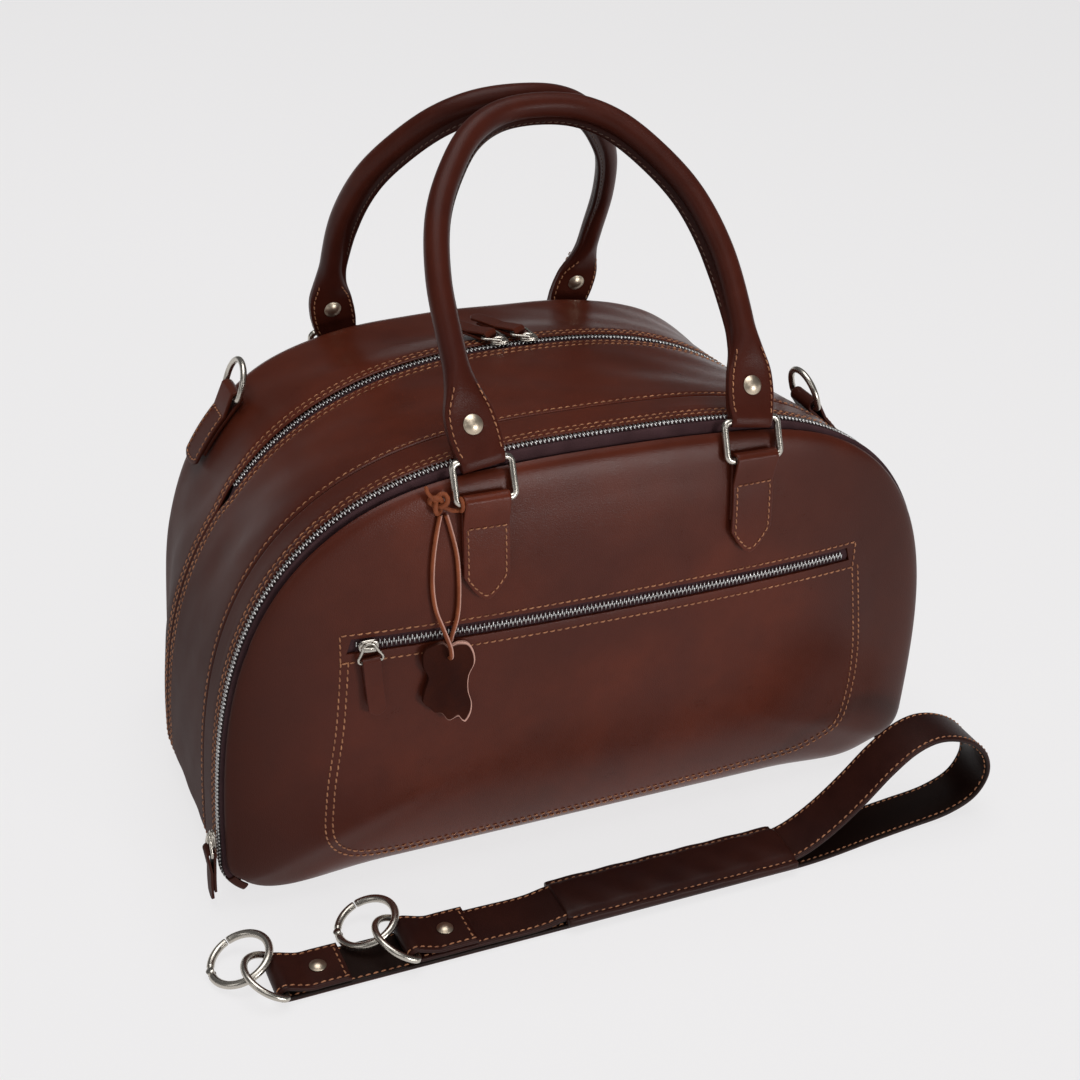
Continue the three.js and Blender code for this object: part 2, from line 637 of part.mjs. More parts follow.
const frontSide = FRONT_SIDE_ROWS.map((share) => between(frontSeam, frontZipEdge, share));
addPiece(bag, 'front_side', sideStrip(frontSide, sideTurns), 'leather');
const backZipEdge = (turn) => MAIN_ZIP_Y + zipEdge(turn);
const shoulder = constant(BACK_EDGE_ROWS[0]);
const backSide = BACK_SIDE_ROWS.map((share) => between(backZipEdge, shoulder, share));
const backEdge = BACK_EDGE_ROWS.map(constant);
addPiece(bag, 'back_side', sideStrip([...backSide, ...backEdge], sideTurns), 'leather');

// A zip's tape and chain: a section of outward distance and depth carried round the arch.
function archZip(section, archY, turns) {
  const flat = section.map(([n, y]) => new THREE.Vector2(n, y));
  const rings = turns.map((turn) => section.map(([n, y]) => {
    const base = skin(y, turn);
    const { nx, nz } = archPoint(archY, turn);
    return vector(base.x + n * nx, y, base.z + n * nz);
  }));
  return loft(rings, false, flat);
}
const chain = (height, middle) => [
  [height - 2, middle - CHAIN_HALF],
  [height, middle - CHAIN_HALF * 0.45],
  [height, middle + CHAIN_HALF * 0.45],
  [height - 2, middle + CHAIN_HALF],
];
const mainSection = [
  [-MAIN_TAPE_DEPTH, MAIN_ZIP_Y - TAPE_HALF],
  ...chain(MAIN_CHAIN_RISE, MAIN_ZIP_Y),
  [-MAIN_TAPE_DEPTH, MAIN_ZIP_Y + TAPE_HALF],
  [-MAIN_TAPE_DEPTH - TAPE, MAIN_ZIP_Y + TAPE_HALF],
  [-MAIN_TAPE_DEPTH - TAPE, MAIN_ZIP_Y - TAPE_HALF],
];
const mainZipTurns = spread(SIDE_COLUMNS.top, -mainZipTurn + ZIP_STOP, mainZipTurn - ZIP_STOP);
addPiece(bag, 'main_zip', archZip(mainSection, MAIN_ZIP_Y, mainZipTurns), 'tape');

const frontSection = [
  [-FRONT_ZIP.reach, FRONT_ZIP.tapeY],
  [-FRONT_ZIP.edge, FRONT_ZIP.tapeY],
  ...chain(FRONT_ZIP.rise, FRONT_ZIP.chainY),
  [-FRONT_ZIP.edge, BAND_FRONT_Y - 0.5],
  [-2 * FRONT_ZIP.edge, BAND_FRONT_Y - 0.5],
  [-2 * FRONT_ZIP.edge, FRONT_ZIP.tapeY + FRONT_ZIP.edge],
  [-FRONT_ZIP.reach, FRONT_ZIP.tapeY + FRONT_ZIP.edge],
];
const frontZipTurn = turnAtHeight(FRONT_CORNER_Y, FRONT_ZIP.endZ);
const frontZipTurns = spread(FRONT_ZIP.columns, -frontZipTurn, frontZipTurn);
addPiece(bag, 'front_zip', archZip(frontSection, FRONT_CORNER_Y, frontZipTurns), 'tape');

// The pocket zip, behind the slot, bowed with the panel.
const pocketSection = [
  { rise: -POCKET.tapeHalf, depth: POCKET.tapeDepth },
  { rise: -POCKET.chainHalf, depth: POCKET.tapeDepth },
  { rise: -POCKET.chainHalf / 2, depth: POCKET.chainDepth },
  { rise: POCKET.chainHalf / 2, depth: POCKET.chainDepth },
  { rise: POCKET.chainHalf, depth: POCKET.tapeDepth },
  { rise: POCKET.tapeHalf, depth: POCKET.tapeDepth },
  { rise: POCKET.tapeHalf, depth: POCKET.tapeDepth + POCKET.tape },
  { rise: -POCKET.tapeHalf, depth: POCKET.tapeDepth + POCKET.tape },
];
const pocketEnd = POCKET.halfLength + POCKET.overlap;
const chainEnd = POCKET.halfLength - POCKET.overlap;
const slotEnd = POCKET.halfLength - 2;
const chainStations = spread(POCKET.columns, -chainEnd, chainEnd);
const pocketStations = [-pocketEnd, -slotEnd, ...chainStations, slotEnd, pocketEnd];
const pocketRings = pocketStations.map((x) => pocketSection.map(({ rise, depth }) => {
  const inSlot = Math.abs(x) <= chainEnd ? depth : Math.max(depth, POCKET.tapeDepth);
  return aboveFront(x, POCKET.z + rise, -inSlot);
}));
const pocketFlat = pocketSection.map(({ rise, depth }) => new THREE.Vector2(rise, depth));
addPiece(bag, 'pocket_zip', loft(pocketRings, false, pocketFlat), 'tape');

// Handles: each group's origin is its rings' lower bar, held in two chapes stitched to a panel.
const pathCurve = (points, closed = false) => new THREE.CatmullRomCurve3(points, closed, 'centripetal');

function sectionAt(along) {
  const last = HANDLE_SECTIONS.at(-1);
  if (along >= last.along) return last;
  const i = Math.max(1, HANDLE_SECTIONS.findIndex((row) => row.along > along));
  const [low, high] = [HANDLE_SECTIONS[i - 1], HANDLE_SECTIONS[i]];
  const t = (along - low.along) / (high.along - low.along);
  const mix = (key) => low[key] + (high[key] - low[key]) * t;
  return {
    width: mix('width'), thick: mix('thick'), power: mix('power'), ridge: mix('ridge'), turn: mix('turn'),
  };
}

function handleFrames(bend, stretch, sideways) {
  const top = HANDLE_ARCH.at(-1).h - RING.height;
  const left = HANDLE_ARCH.map(({ x, h }) => {
    const rise = h - RING.height;
    const side = rise > 0 ? sideways * x : x;
    return vector(-side, bend * (rise / top) ** HANDLE_BEND_POWER, RING.height + stretch * rise);
  });
  const right = left.slice(0, -1).reverse().map((p) => vector(-p.x, p.y, p.z));
  const curve = pathCurve([...left, ...right]);
  const length = curve.getLength();
  return { curve, length, at(distance) {
    const share = clamp01(distance / length);
    const tangent = curve.getTangentAt(share);
    const point = curve.getPointAt(share);
    point.addScaledVector(tangent, distance - share * length);
    const thick = vector(0, 1, 0).addScaledVector(tangent, -tangent.y).normalize();
    return { point, thick, wide: vector().crossVectors(tangent, thick) };
  } };
}

function handleBody(frames) {
  const { length } = frames;
  const ends = HANDLE_SECTIONS.map((row) => row.along);
  const middle = spread(HANDLE_STATIONS, ends.at(-1), length - ends.at(-1)).slice(1, -1);
  const stations = [...ends, ...middle, ...ends.map((along) => length - along).reverse()];
  const rings = stations.map((distance) => {
    const { width, thick, power, ridge, turn } = sectionAt(Math.min(distance, length - distance));
    const { point: middle, ...frame } = frames.at(distance);
    const [c, s] = [Math.cos, Math.sin].map((of) => of(THREE.MathUtils.degToRad(turn)));
    const wide = frame.wide.clone().multiplyScalar(c).addScaledVector(frame.thick, -s);
    const deep = frame.thick.clone().multiplyScalar(c).addScaledVector(frame.wide, s);
    return Array.from({ length: HANDLE_SIDES }, (_, j) => {
      const angle = (2 * Math.PI * j) / HANDLE_SIDES;
      const bow = (value) => Math.sign(value) * Math.abs(value) ** (2 / power);
      const seam = j === HANDLE_SIDES / 2 ? ridge : 0;
      const across = width * bow(Math.cos(angle)) - seam;
      return middle.clone().addScaledVector(wide, across).addScaledVector(deep, thick * bow(Math.sin(angle)));
    });
  });
  return loft(rings);
}

function ringPath(center) {
  const { width, height, corner } = RING;
  const shape = new THREE.Shape();
  const [w, h] = [width / 2, height];
  shape.moveTo(w - corner, 0);
  shape.absarc(w - corner, corner, corner, -Math.PI / 2, 0);
  shape.absarc(w - corner, h - corner, corner, 0, Math.PI / 2);
  shape.absarc(corner - w, h - corner, corner, Math.PI / 2, Math.PI);
  shape.absarc(corner - w, corner, corner, Math.PI, 1.5 * Math.PI);
  const seen = new Set();
  const points = shape.getPoints(1).filter((p) => {
    const key = p.toArray().map((c) => c.toFixed(2)).join();
    return !seen.has(key) && seen.add(key);
  });
  return points.map((p) => vector(center + p.x, 0, p.y));
}

const chapeSpec = (tipZ, barZ) => ({
  width: CHAPE.width,
  length: barZ - tipZ,
  tip: CHAPE.tip,
  power: CHAPE.power,
  wireRadius: RING.wire,
  thick: CHAPE_LEATHER,
  clear: 0.5,
  lift: 1.2,
  columns: 3,
});

function addHandle({ side, tipZ, barZ, lean, bend, stretch, sideways, facing }, above) {
  const bars = [];
  for (const [hand, x] of [['left', -HANDLE_X], ['right', HANDLE_X]]) {
    const place = (u, v, h) => above(x + v, tipZ + u, h);
    const { geometry, bar: barPoint } = foldedTab(place, vector(1, 0, 0), chapeSpec(tipZ, barZ));
    addPiece(bag, `${side}_chape_${hand}`, geometry, 'leather');
    bars.push(barPoint);
  }
  const group = new THREE.Group();
  group.position.set(0, bars[0].y, bars[0].z);
  group.rotation.order = 'ZXY';
  group.rotation.set(-THREE.MathUtils.degToRad(lean), 0, facing);
  bag.add(group);
  const frames = handleFrames(bend, stretch, sideways);
  const cuts = [];
  const hands = [
    ['left', -HANDLE_X, RIVET.along],
    ['right', HANDLE_X, frames.length - RIVET.along],
  ];
  for (const [hand, x, distance] of hands) {
    const ring = wire(ringPath(x), vector(0, 1, 0), RING.wire, WIRE_SIDES, true);
    const named = facing ? { left: 'right', right: 'left' }[hand] : hand;
    addPiece(group, `${side}_ring_${named}`, ring, 'nickel');
    cuts.push(bar(vector(x, 0, RING.height), vector(1, 0, 0), RING.wire + GAP, 34, 8));
    const frame = frames.at(distance);
    const grip = 2 * sectionAt(RIVET.along).thick + 3 * GAP;
    cuts.push(bar(frame.point, frame.thick, RIVET.post + GAP, 30, 8));
    addPiece(group, `${side}_rivet_${named}`, rivet(frame.point, frame.thick, grip, RIVET), 'nickel');
  }
  addPiece(group, `${side}_handle`, cut(handleBody(frames), ...cuts), 'leather');
}
addHandle(HANDLES[0], aboveFront);
addHandle(HANDLES[1], aboveBack);

// Leather tabs on the shoulders, each with a D-ring that turns on its straight bar.
for (const { name, y, side, lean } of END_TABS) {
  const run = halfArch(y).total;
  const place = (u, v, h) => {
    const turn = side * (END_TAB.barTurn + (END_TAB.length - u) / run);
    return skin(y + v, turn, h);
  };
  const spec = { ...END_TAB, wireRadius: END_RING.wire, thick: CHAPE_LEATHER };
  const { geometry, bar: barPoint } = foldedTab(place, vector(0, 1, 0), spec);
  addPiece(bag, `end_tab_${name}`, geometry, 'leather');
  const angle = THREE.MathUtils.degToRad(lean);
  const out = vector(-side * Math.sin(angle), 0, Math.cos(angle));
  const path = dRingPath(vector(0, 0, 0), vector(0, 1, 0), out, END_RING.width, END_RING.height);
  const ring = wire(path, vector().crossVectors(out, vector(0, 1, 0)), END_RING.wire, WIRE_SIDES, true);
  addPiece(bag, `end_ring_${name}`, ring, 'nickel').position.copy(barPoint);
}

// Zip sliders: a shield-shaped plate over the chain with a bail, and a leather pull folded through the bail.
const SLIDER = { length: 11, wide: 8.4, narrow: 6, low: 0.5, high: 3, bail: 7.6, bailHalf: 6.9,
  bailWire: 0.9 };
const PULL = { width: 10, length: 34, thick: 1.5, tip: 3, power: 2, wireRadius: SLIDER.bailWire, clear: GAP,
  lift: 0.4, columns: 2 };

function addSlider(name, position, along, out, pullTurn, pullDrop) {
  const group = new THREE.Group();
  const across = vector().crossVectors(out, along);
  group.position.copy(position);
  group.quaternion.setFromRotationMatrix(new THREE.Matrix4().makeBasis(along, across, out));
  bag.add(group);
  const shield = new THREE.Shape();
  const [l, w, n] = [SLIDER.length / 2, SLIDER.wide / 2, SLIDER.narrow / 2];
  const corners = [[l, -w], [l, w], [0, w], [-l, n], [-l, -n], [0, -w]];
  shield.setFromPoints(corners.map(([a, b]) => new THREE.Vector2(a, b)));
  const plate = new THREE.ExtrudeGeometry(shield, { depth: SLIDER.high - SLIDER.low, bevelEnabled: false });
  plate.translate(0, 0, SLIDER.low);
  const turn = new THREE.Matrix4().makeRotationZ(pullTurn);
  const height = SLIDER.high + SLIDER.bailWire - 0.3;
  const reach = SLIDER.bail + 1;
  const bailPath = [[-2, -2.4], [reach - 2, -SLIDER.bailHalf], [reach, -SLIDER.bailHalf + 1.2],
    [reach, SLIDER.bailHalf - 1.2], [reach - 2, SLIDER.bailHalf], [-2, 2.4]];
  const bailLine = bailPath.map(([a, b]) => vector(a, b, height));
  const bail = wire(bailLine, vector(0, 0, 1), SLIDER.bailWire, 5, true);
  addPiece(group, `${name}_slider`, join(plate, bail.applyMatrix4(turn)), 'nickel');
  const low = height - (GAP + PULL.thick / 2 + PULL.lift + SLIDER.bailWire + GAP + PULL.thick / 2);
  const drop = Math.tan(pullDrop);
  const place = (u, v, h) => {
    const away = PULL.length - u;
    return vector(reach + away, v, low + h - away * drop).applyMatrix4(turn);
  };
  const acrossPull = vector(0, 1, 0).applyMatrix4(turn);
  const { geometry } = foldedTab(place, acrossPull, PULL);
  addPiece(group, `${name}_pull`, geometry, 'leather');
}

const alongArch = (y, turn, sign) => {
  return vector().subVectors(skin(y, turn + 0.01), skin(y, turn - 0.01)).normalize().multiplyScalar(sign);
};
function archOut(y, turn) {
  const { nx, nz } = archPoint(y, turn);
  return vector(nx, 0, nz);
}
const squareTo = (direction, normal) => direction.addScaledVector(normal, -direction.dot(normal)).normalize();

// Pocket slider at the zip's left end, its pull hanging down.
const POCKET_SLIDER_X = -148;
const POCKET_PULL = { turn: -Math.PI / 2 + 0.1, drop: -0.03 };
const pocketSliderAt = aboveFront(POCKET_SLIDER_X, POCKET.z, 0);
const pocketOut = aboveFront(POCKET_SLIDER_X, POCKET.z, 1).sub(pocketSliderAt);
const pocketAlong = squareTo(vector(1, 0, 0), pocketOut);
addSlider('pocket', pocketSliderAt, pocketAlong, pocketOut, POCKET_PULL.turn, POCKET_PULL.drop);

// Front zip's slider low on the left side, its pull hanging to the floor.
const FRONT_SLIDER_Z = 47;
const frontSliderTurn = -turnAtHeight(FRONT_CORNER_Y, FRONT_SLIDER_Z);
const frontSliderOut = archOut(FRONT_CORNER_Y, frontSliderTurn);
const frontSliderAlong = squareTo(alongArch(FRONT_CORNER_Y, frontSliderTurn, -1), frontSliderOut);
const frontSliderAt = skin(FRONT_ZIP.chainY, frontSliderTurn, FRONT_ZIP.rise - 0.1);
addSlider('front', frontSliderAt, frontSliderAlong, frontSliderOut, 0, 0);

// Two sliders meet near the middle of the top zip, their pulls lying to the back and left.
const MAIN_SLIDERS = [
  { name: 'main_left', x: -15 },
  { name: 'main_right', x: 4 },
];
const MAIN_PULL = { turn: THREE.MathUtils.degToRad(122), drop: -0.02 };
for (const { name, x } of MAIN_SLIDERS) {
  const turn = x / halfArch(MAIN_ZIP_Y).total;
  const out = archOut(MAIN_ZIP_Y, turn);
  const along = squareTo(alongArch(MAIN_ZIP_Y, turn, 1), out);
  addSlider(name, skin(MAIN_ZIP_Y, turn, GAP), along, out, MAIN_PULL.turn, MAIN_PULL.drop);
}

// The charm's knot, thong and hide, lying on the front panel.
const knot = new THREE.SphereGeometry(KNOT.radius, 8, 6);
knot.applyMatrix4(new THREE.Matrix4().makeScale(1, 1, KNOT.stretch));
const knotAt = aboveFront(KNOT.x, KNOT.z, KNOT.height);
addPiece(bag, 'charm_knot', knot, 'leather').position.copy(knotAt);
const thongCurve = pathCurve(THONG_ROUTE.map(({ x, z, off }) => aboveFront(x, z, off)));
const thongSection = new THREE.Shape(spread(THONG.sides, 0, 2 * Math.PI).slice(0, -1).map((angle) => {
  return new THREE.Vector2(THONG.radius * Math.cos(angle), THONG.radius * Math.sin(angle));
}));
const thongRun = { steps: THONG.steps, extrudePath: thongCurve, curveSegments: 1 };
const thong = new THREE.ExtrudeGeometry(thongSection, thongRun);
addPiece(bag, 'charm_thong', thong, 'strap');

const hideHalf = HIDE_OUTLINE.map(({ across, down }) => [across * HIDE.width / 2, -down * HIDE.length]);
const hideOutline = [...hideHalf, ...hideHalf.map(([x, y]) => [-x, y]).reverse()];
const hideShape = new THREE.Shape(hideOutline.reverse().map(([x, y]) => new THREE.Vector2(x, y)));
const hole = new THREE.Path();
hole.absarc(0, -HIDE_HOLE.drop, HIDE_HOLE.radius, 0, 2 * Math.PI, true);
hideShape.holes.push(hole);
const hideCut = { depth: HIDE.thick, bevelEnabled: false, curveSegments: 5 };
const hide = new THREE.ExtrudeGeometry(hideShape, hideCut);
const hideGroup = new THREE.Group();
const hideMiddleZ = HIDE.topZ - HIDE.length / 2;
const hideOut = aboveFront(HIDE.x, hideMiddleZ, 1).sub(aboveFront(HIDE.x, hideMiddleZ, 0));
const hideAcross = squareTo(vector(1, 0, 0), hideOut);
const hideUp = hideOut.clone().cross(hideAcross);
hideGroup.quaternion.setFromRotationMatrix(new THREE.Matrix4().makeBasis(hideAcross, hideUp, hideOut));
hideGroup.position.copy(aboveFront(HIDE.x, HIDE.topZ, HIDE.height - HIDE.thick / 2));
bag.add(hideGroup);
addPiece(hideGroup, 'charm_hide', hide, 'suede');

// The strap's middle line: a folded end, the floor, the loop, the pad and the other folded end.
const endTurn = (barX, barZ) => spread(4, -Math.PI / 2, -1.5 * Math.PI).map((angle) => {
  return [barX + STRAP_TURN * Math.cos(angle), barZ + STRAP_TURN * Math.sin(angle)];
});
const lowBarZ = LOW_Z + STRAP_TURN;
const highBarZ = HIGH_Z + STRAP_TURN;
const flap = (barX, z) => [FLAP.settle, FLAP.length].map((reach) => [barX + reach, z + STRAP.thick + GAP]);
const strapLine = [
  ...flap(LOW_BAR_X, LOW_Z).reverse(),
  ...endTurn(LOW_BAR_X, lowBarZ).reverse(),
  ...STRAP_LOOP.map(({ x, z }) => [x, z]),
  [PAD.x1 - 6, PAD_Z],
  [PAD.x0 + 2, PAD_Z],
  [PAD.x0 - 16, HIGH_Z],
  ...endTurn(HIGH_BAR_X, highBarZ),
  ...flap(HIGH_BAR_X, HIGH_Z),
];
const strapY = (x) => STRAP.y + STRAP.drift * ease(STRAP.driftFrom, STRAP.driftTo, x);
const strapGrid = strapLine.map(([x, z]) => {
  return [-0.5, 0.5].map((side) => vector(x, strapY(x) + side * STRAP.width, z));
});
const strapBody = wall(strapGrid, -STRAP.thick / 2, STRAP.thick / 2);
const strapRivets = [[LOW_BAR_X, LOW_Z], [HIGH_BAR_X, HIGH_Z]].map(([barX, z]) => {
  return vector(barX + STRAP_RIVET.fromBar, STRAP.y, z + (STRAP.thick + GAP) / 2);
});
const rivetHoles = strapRivets.map((center) => {
  return bar(center, vector(0, 0, 1), STRAP_RIVET.post + GAP, 2 * STRAP.thick + 4 * GAP, 8);
});
addPiece(bag, 'strap', cut(strapBody, ...rivetHoles), 'strap');

// Strap rivets hold the folded ends. Each has its cap on top and a flat foot inside the lower layer.
strapRivets.forEach((center, i) => {
  const half = STRAP.thick + GAP / 2;
  const { post, cap, dome, foot } = STRAP_RIVET;
  const top = half + GAP;
  const profile = [
    [0, foot - half],
    [post, foot - half],
    [post, top],
    [cap, top],
    [cap * 0.62, top + dome * 0.72],
    [0, top + dome],
  ];
  const outline = profile.map(([r, y]) => new THREE.Vector2(r, y));
  const body = new THREE.LatheGeometry(outline, 8).rotateX(Math.PI / 2);
  addPiece(bag, `strap_rivet_${CLASPS[i].name}`, body, 'nickel').position.copy(center);
});

// The shoulder pad: a sleeve with a slot for the strap's upper layer.
const padShape = new THREE.Shape();
const padHalf = PAD.width / 2;
const padRight = [
  [padHalf - PAD.under, PAD.low],
  [padHalf, PAD.edge],
  [padHalf, PAD.edge + PAD.edgeHeight],
  [padHalf - PAD.over, PAD.high],
];
const padOutline = [...padRight, ...padRight.map(([y, z]) => [-y, z]).reverse()];
padShape.setFromPoints(padOutline.map(([y, z]) => new THREE.Vector2(y, z)));
const padSlot = [[-1, -1], [-1, 1], [1, 1], [1, -1]].map(([y, z]) => {
  return new THREE.Vector2((y * PAD.slotWidth) / 2, PAD_Z + (z * PAD.slotHeight) / 2);
});
padShape.holes.push(new THREE.Path(padSlot));
const pad = new THREE.ExtrudeGeometry(padShape, { depth: PAD.x1 - PAD.x0, bevelEnabled: false });
pad.applyMatrix4(new THREE.Matrix4().makeBasis(vector(0, 1, 0), vector(0, 0, 1), vector(1, 0, 0)));
addPiece(bag, 'strap_pad', pad.translate(PAD.x0, STRAP.y, 0), 'leather');

// The strap's D-rings, tipped up from their bars, with the clasp rings linked through them.
[[LOW_BAR_X, lowBarZ], [HIGH_BAR_X, highBarZ]].forEach(([barX, barZ], i) => {
  const angle = THREE.MathUtils.degToRad(STRAP_RING.lift);
  const out = vector(-Math.cos(angle), 0, Math.sin(angle));
  const center = vector(barX, STRAP.y, barZ);
  const path = dRingPath(center, vector(0, 1, 0), out, STRAP_RING.width, STRAP_RING.height);
  const ring = wire(path, vector().crossVectors(out, vector(0, 1, 0)), STRAP_RING.wire, WIRE_SIDES, true);
  addPiece(bag, `strap_ring_${CLASPS[i].name}`, ring, 'nickel');
});

// A clasp: an open ring with a forked end and its pin, and a gate that turns inwards on the pin.
const claspPoint = (degrees, radius = CLASP.radius) => {
  const angle = THREE.MathUtils.degToRad(degrees);
  return vector(radius * Math.cos(angle), radius * Math.sin(angle), 0);
};
const upright = vector(0, 0, 1);
const claspArc = (from, to, segments) => {
  const path = spread(segments, from, to).map((degrees) => claspPoint(degrees));
  return wire(path, upright, CLASP.wire, WIRE_SIDES, false);
};
const pivot = claspPoint(GATE.pivotAngle);
const swing = pivot.distanceTo(claspPoint(GATE.freeAngle));
const splitAngle = GATE.pivotAngle + GATE.splitTurn;
const freeHalf = claspArc(splitAngle - GATE.lap, GATE.freeAngle + 360 + GATE.overrun, 8);
const knuckle = bar(pivot, upright, CLASP.wire, 2 * CLASP.wire - 0.2, 10);
const pivotHalf = cut(
  join(claspArc(GATE.pivotAngle, splitAngle, 8), knuckle),
  bar(pivot, upright, GATE.slot, GATE.slotHeight, 12),
);
const pin = bar(pivot, upright, GATE.pin, 2 * CLASP.wire - 0.4, 6);
const claspBody = join(cut(freeHalf, bar(pivot, upright, swing + GATE.end, 12, 24)), pivotHalf, pin);

const gateArc = claspArc(GATE.freeAngle - GATE.overrun, GATE.pivotAngle, 5);
const gateReach = toSolid(gateArc).intersect(toSolid(bar(pivot, upright, swing, 12, 24)));
const gateTube = cut(toGeometry(gateReach), bar(pivot, upright, GATE.slot, 12, 12));
const neck = new THREE.BoxGeometry(GATE.neckWidth, GATE.neckLength, GATE.eyeHeight);
neck.translate(0, GATE.neckLength / 2, 0);
neck.rotateZ(THREE.MathUtils.degToRad(GATE.pivotAngle - 180)).translate(pivot.x, pivot.y, 0);
const eye = bar(pivot, upright, GATE.eye, GATE.eyeHeight, 10);
const gateBody = cut(join(gateTube, neck, eye), bar(pivot, upright, GATE.pin + GAP, 12, 6));

for (const { name, center, heading, tilt } of CLASPS) {
  const [turn, rise] = [heading, tilt].map(THREE.MathUtils.degToRad);
  const uphill = vector(Math.cos(turn) * Math.cos(rise), Math.sin(turn) * Math.cos(rise), Math.sin(rise));
  const level = vector(-Math.sin(turn), Math.cos(turn), 0);
  const group = new THREE.Group();
  group.position.set(...center);
  group.quaternion.setFromRotationMatrix(
    new THREE.Matrix4().makeBasis(uphill, level, vector().crossVectors(uphill, level)),
  );
  bag.add(group);
  addPiece(group, `clasp_${name}`, claspBody, 'nickel');
  addPiece(group, `clasp_gate_${name}`, gateBody, 'nickel');
}

export default bag;
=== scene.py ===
"""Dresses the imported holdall: leather, zips, thread and metal, with its shoulder strap on the floor."""
import bpy
import numpy as np
from mathutils import Matrix


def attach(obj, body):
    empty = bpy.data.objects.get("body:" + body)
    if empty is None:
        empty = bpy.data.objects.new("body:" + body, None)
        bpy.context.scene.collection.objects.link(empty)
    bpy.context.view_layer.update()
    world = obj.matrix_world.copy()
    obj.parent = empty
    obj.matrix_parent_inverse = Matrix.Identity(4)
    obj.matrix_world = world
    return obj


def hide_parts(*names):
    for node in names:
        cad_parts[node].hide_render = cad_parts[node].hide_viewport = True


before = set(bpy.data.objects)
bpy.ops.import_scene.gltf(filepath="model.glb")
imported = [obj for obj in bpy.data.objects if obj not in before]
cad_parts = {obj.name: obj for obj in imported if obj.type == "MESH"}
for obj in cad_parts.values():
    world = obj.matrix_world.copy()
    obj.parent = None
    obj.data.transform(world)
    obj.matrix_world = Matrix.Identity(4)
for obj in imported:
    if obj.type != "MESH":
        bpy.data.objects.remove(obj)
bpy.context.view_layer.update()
scene = bpy.context.scene

# Camera
# A camera at the bag's front left, about 1.1 m away, that looks down on it and is turned a little about its
# own line of sight. Its focal length and its shifted centre were fitted to measured points of the bag.
AZIMUTH, ELEVATION, ROLL = np.radians([-24.92, 29.95, 3.31])
DISTANCE, AIM = 1.1074, np.array([0, 0, 0.13])
FOCAL_PX, CENTRE_PX, IMAGE_PX, SENSOR_MM = 1719.2, (518.2, 550.5), 1080, 36
back = np.array([np.sin(AZIMUTH) * np.cos(ELEVATION), -np.cos(AZIMUTH) * np.cos(ELEVATION),
                 np.sin(ELEVATION)])
right = np.array([np.cos(AZIMUTH), np.sin(AZIMUTH), 0])
up = np.cross(back, right)
axes = [np.cos(ROLL) * right + np.sin(ROLL) * up, np.cos(ROLL) * up - np.sin(ROLL) * right, back]
lens = bpy.data.cameras.new("camera")
lens.sensor_width = SENSOR_MM
lens.lens = FOCAL_PX / IMAGE_PX * SENSOR_MM
lens.shift_x = 0.5 - CENTRE_PX[0] / IMAGE_PX
lens.shift_y = CENTRE_PX[1] / IMAGE_PX - 0.5
camera = bpy.data.objects.new("camera", lens)
placed = np.eye(4)
placed[:3, :3] = np.stack(axes, 1)
placed[:3, 3] = AIM + DISTANCE * back
camera.matrix_world = Matrix(placed.tolist())
scene.collection.objects.link(camera)
scene.camera = camera

# Studio
# A pale seamless paper floor, matt and evenly bright. A broad soft light hangs above, weaker ones stand at
# the left and in front, and a low narrow one at the front right gives the panel its sheen.
scene.view_settings.view_transform = "Standard"
world = bpy.data.worlds.new("studio")
world.use_nodes = True
world.node_tree.nodes["Background"].inputs["Color"].default_value = (0.93, 0.925, 0.93, 1)
world.node_tree.nodes["Background"].inputs["Strength"].default_value = 0.14
scene.world = world


def soft_light(name, at, aim, size, power, spread=180):
    """A square area light at a point, turned so that its -Z looks at the aim, its beam spread over some
    degrees."""
    data = bpy.data.lights.new(name, "AREA")
    data.shape, data.size, data.energy, data.spread = "SQUARE", size, power, np.radians(spread)
    light = bpy.data.objects.new(name, data)
    z = np.subtract(at, aim) / np.linalg.norm(np.subtract(at, aim))
    x = np.cross([0.02, 1, 0.03], z)
    x /= np.linalg.norm(x)
    turned = np.eye(4)
    turned[:3, :3] = np.stack([x, np.cross(z, x), z], 1)
    turned[:3, 3] = at
    light.matrix_world = Matrix(turned.tolist())
    scene.collection.objects.link(light)


soft_light("above", (-0.1, 0.1, 2.4), (0, 0, 0.2), 1.8, 36)
soft_light("front", (-0.3, -1.7, 1.9), (0, -0.1, 0.2), 1.2, 6)
soft_light("left", (-2.2, -0.9, 1.2), (0, 0, 0.15), 1.0, 4)
soft_light("low", (0.82, -2.16, 0.52), (0, -0.13, 0.24), 0.6, 2.3, spread=60)


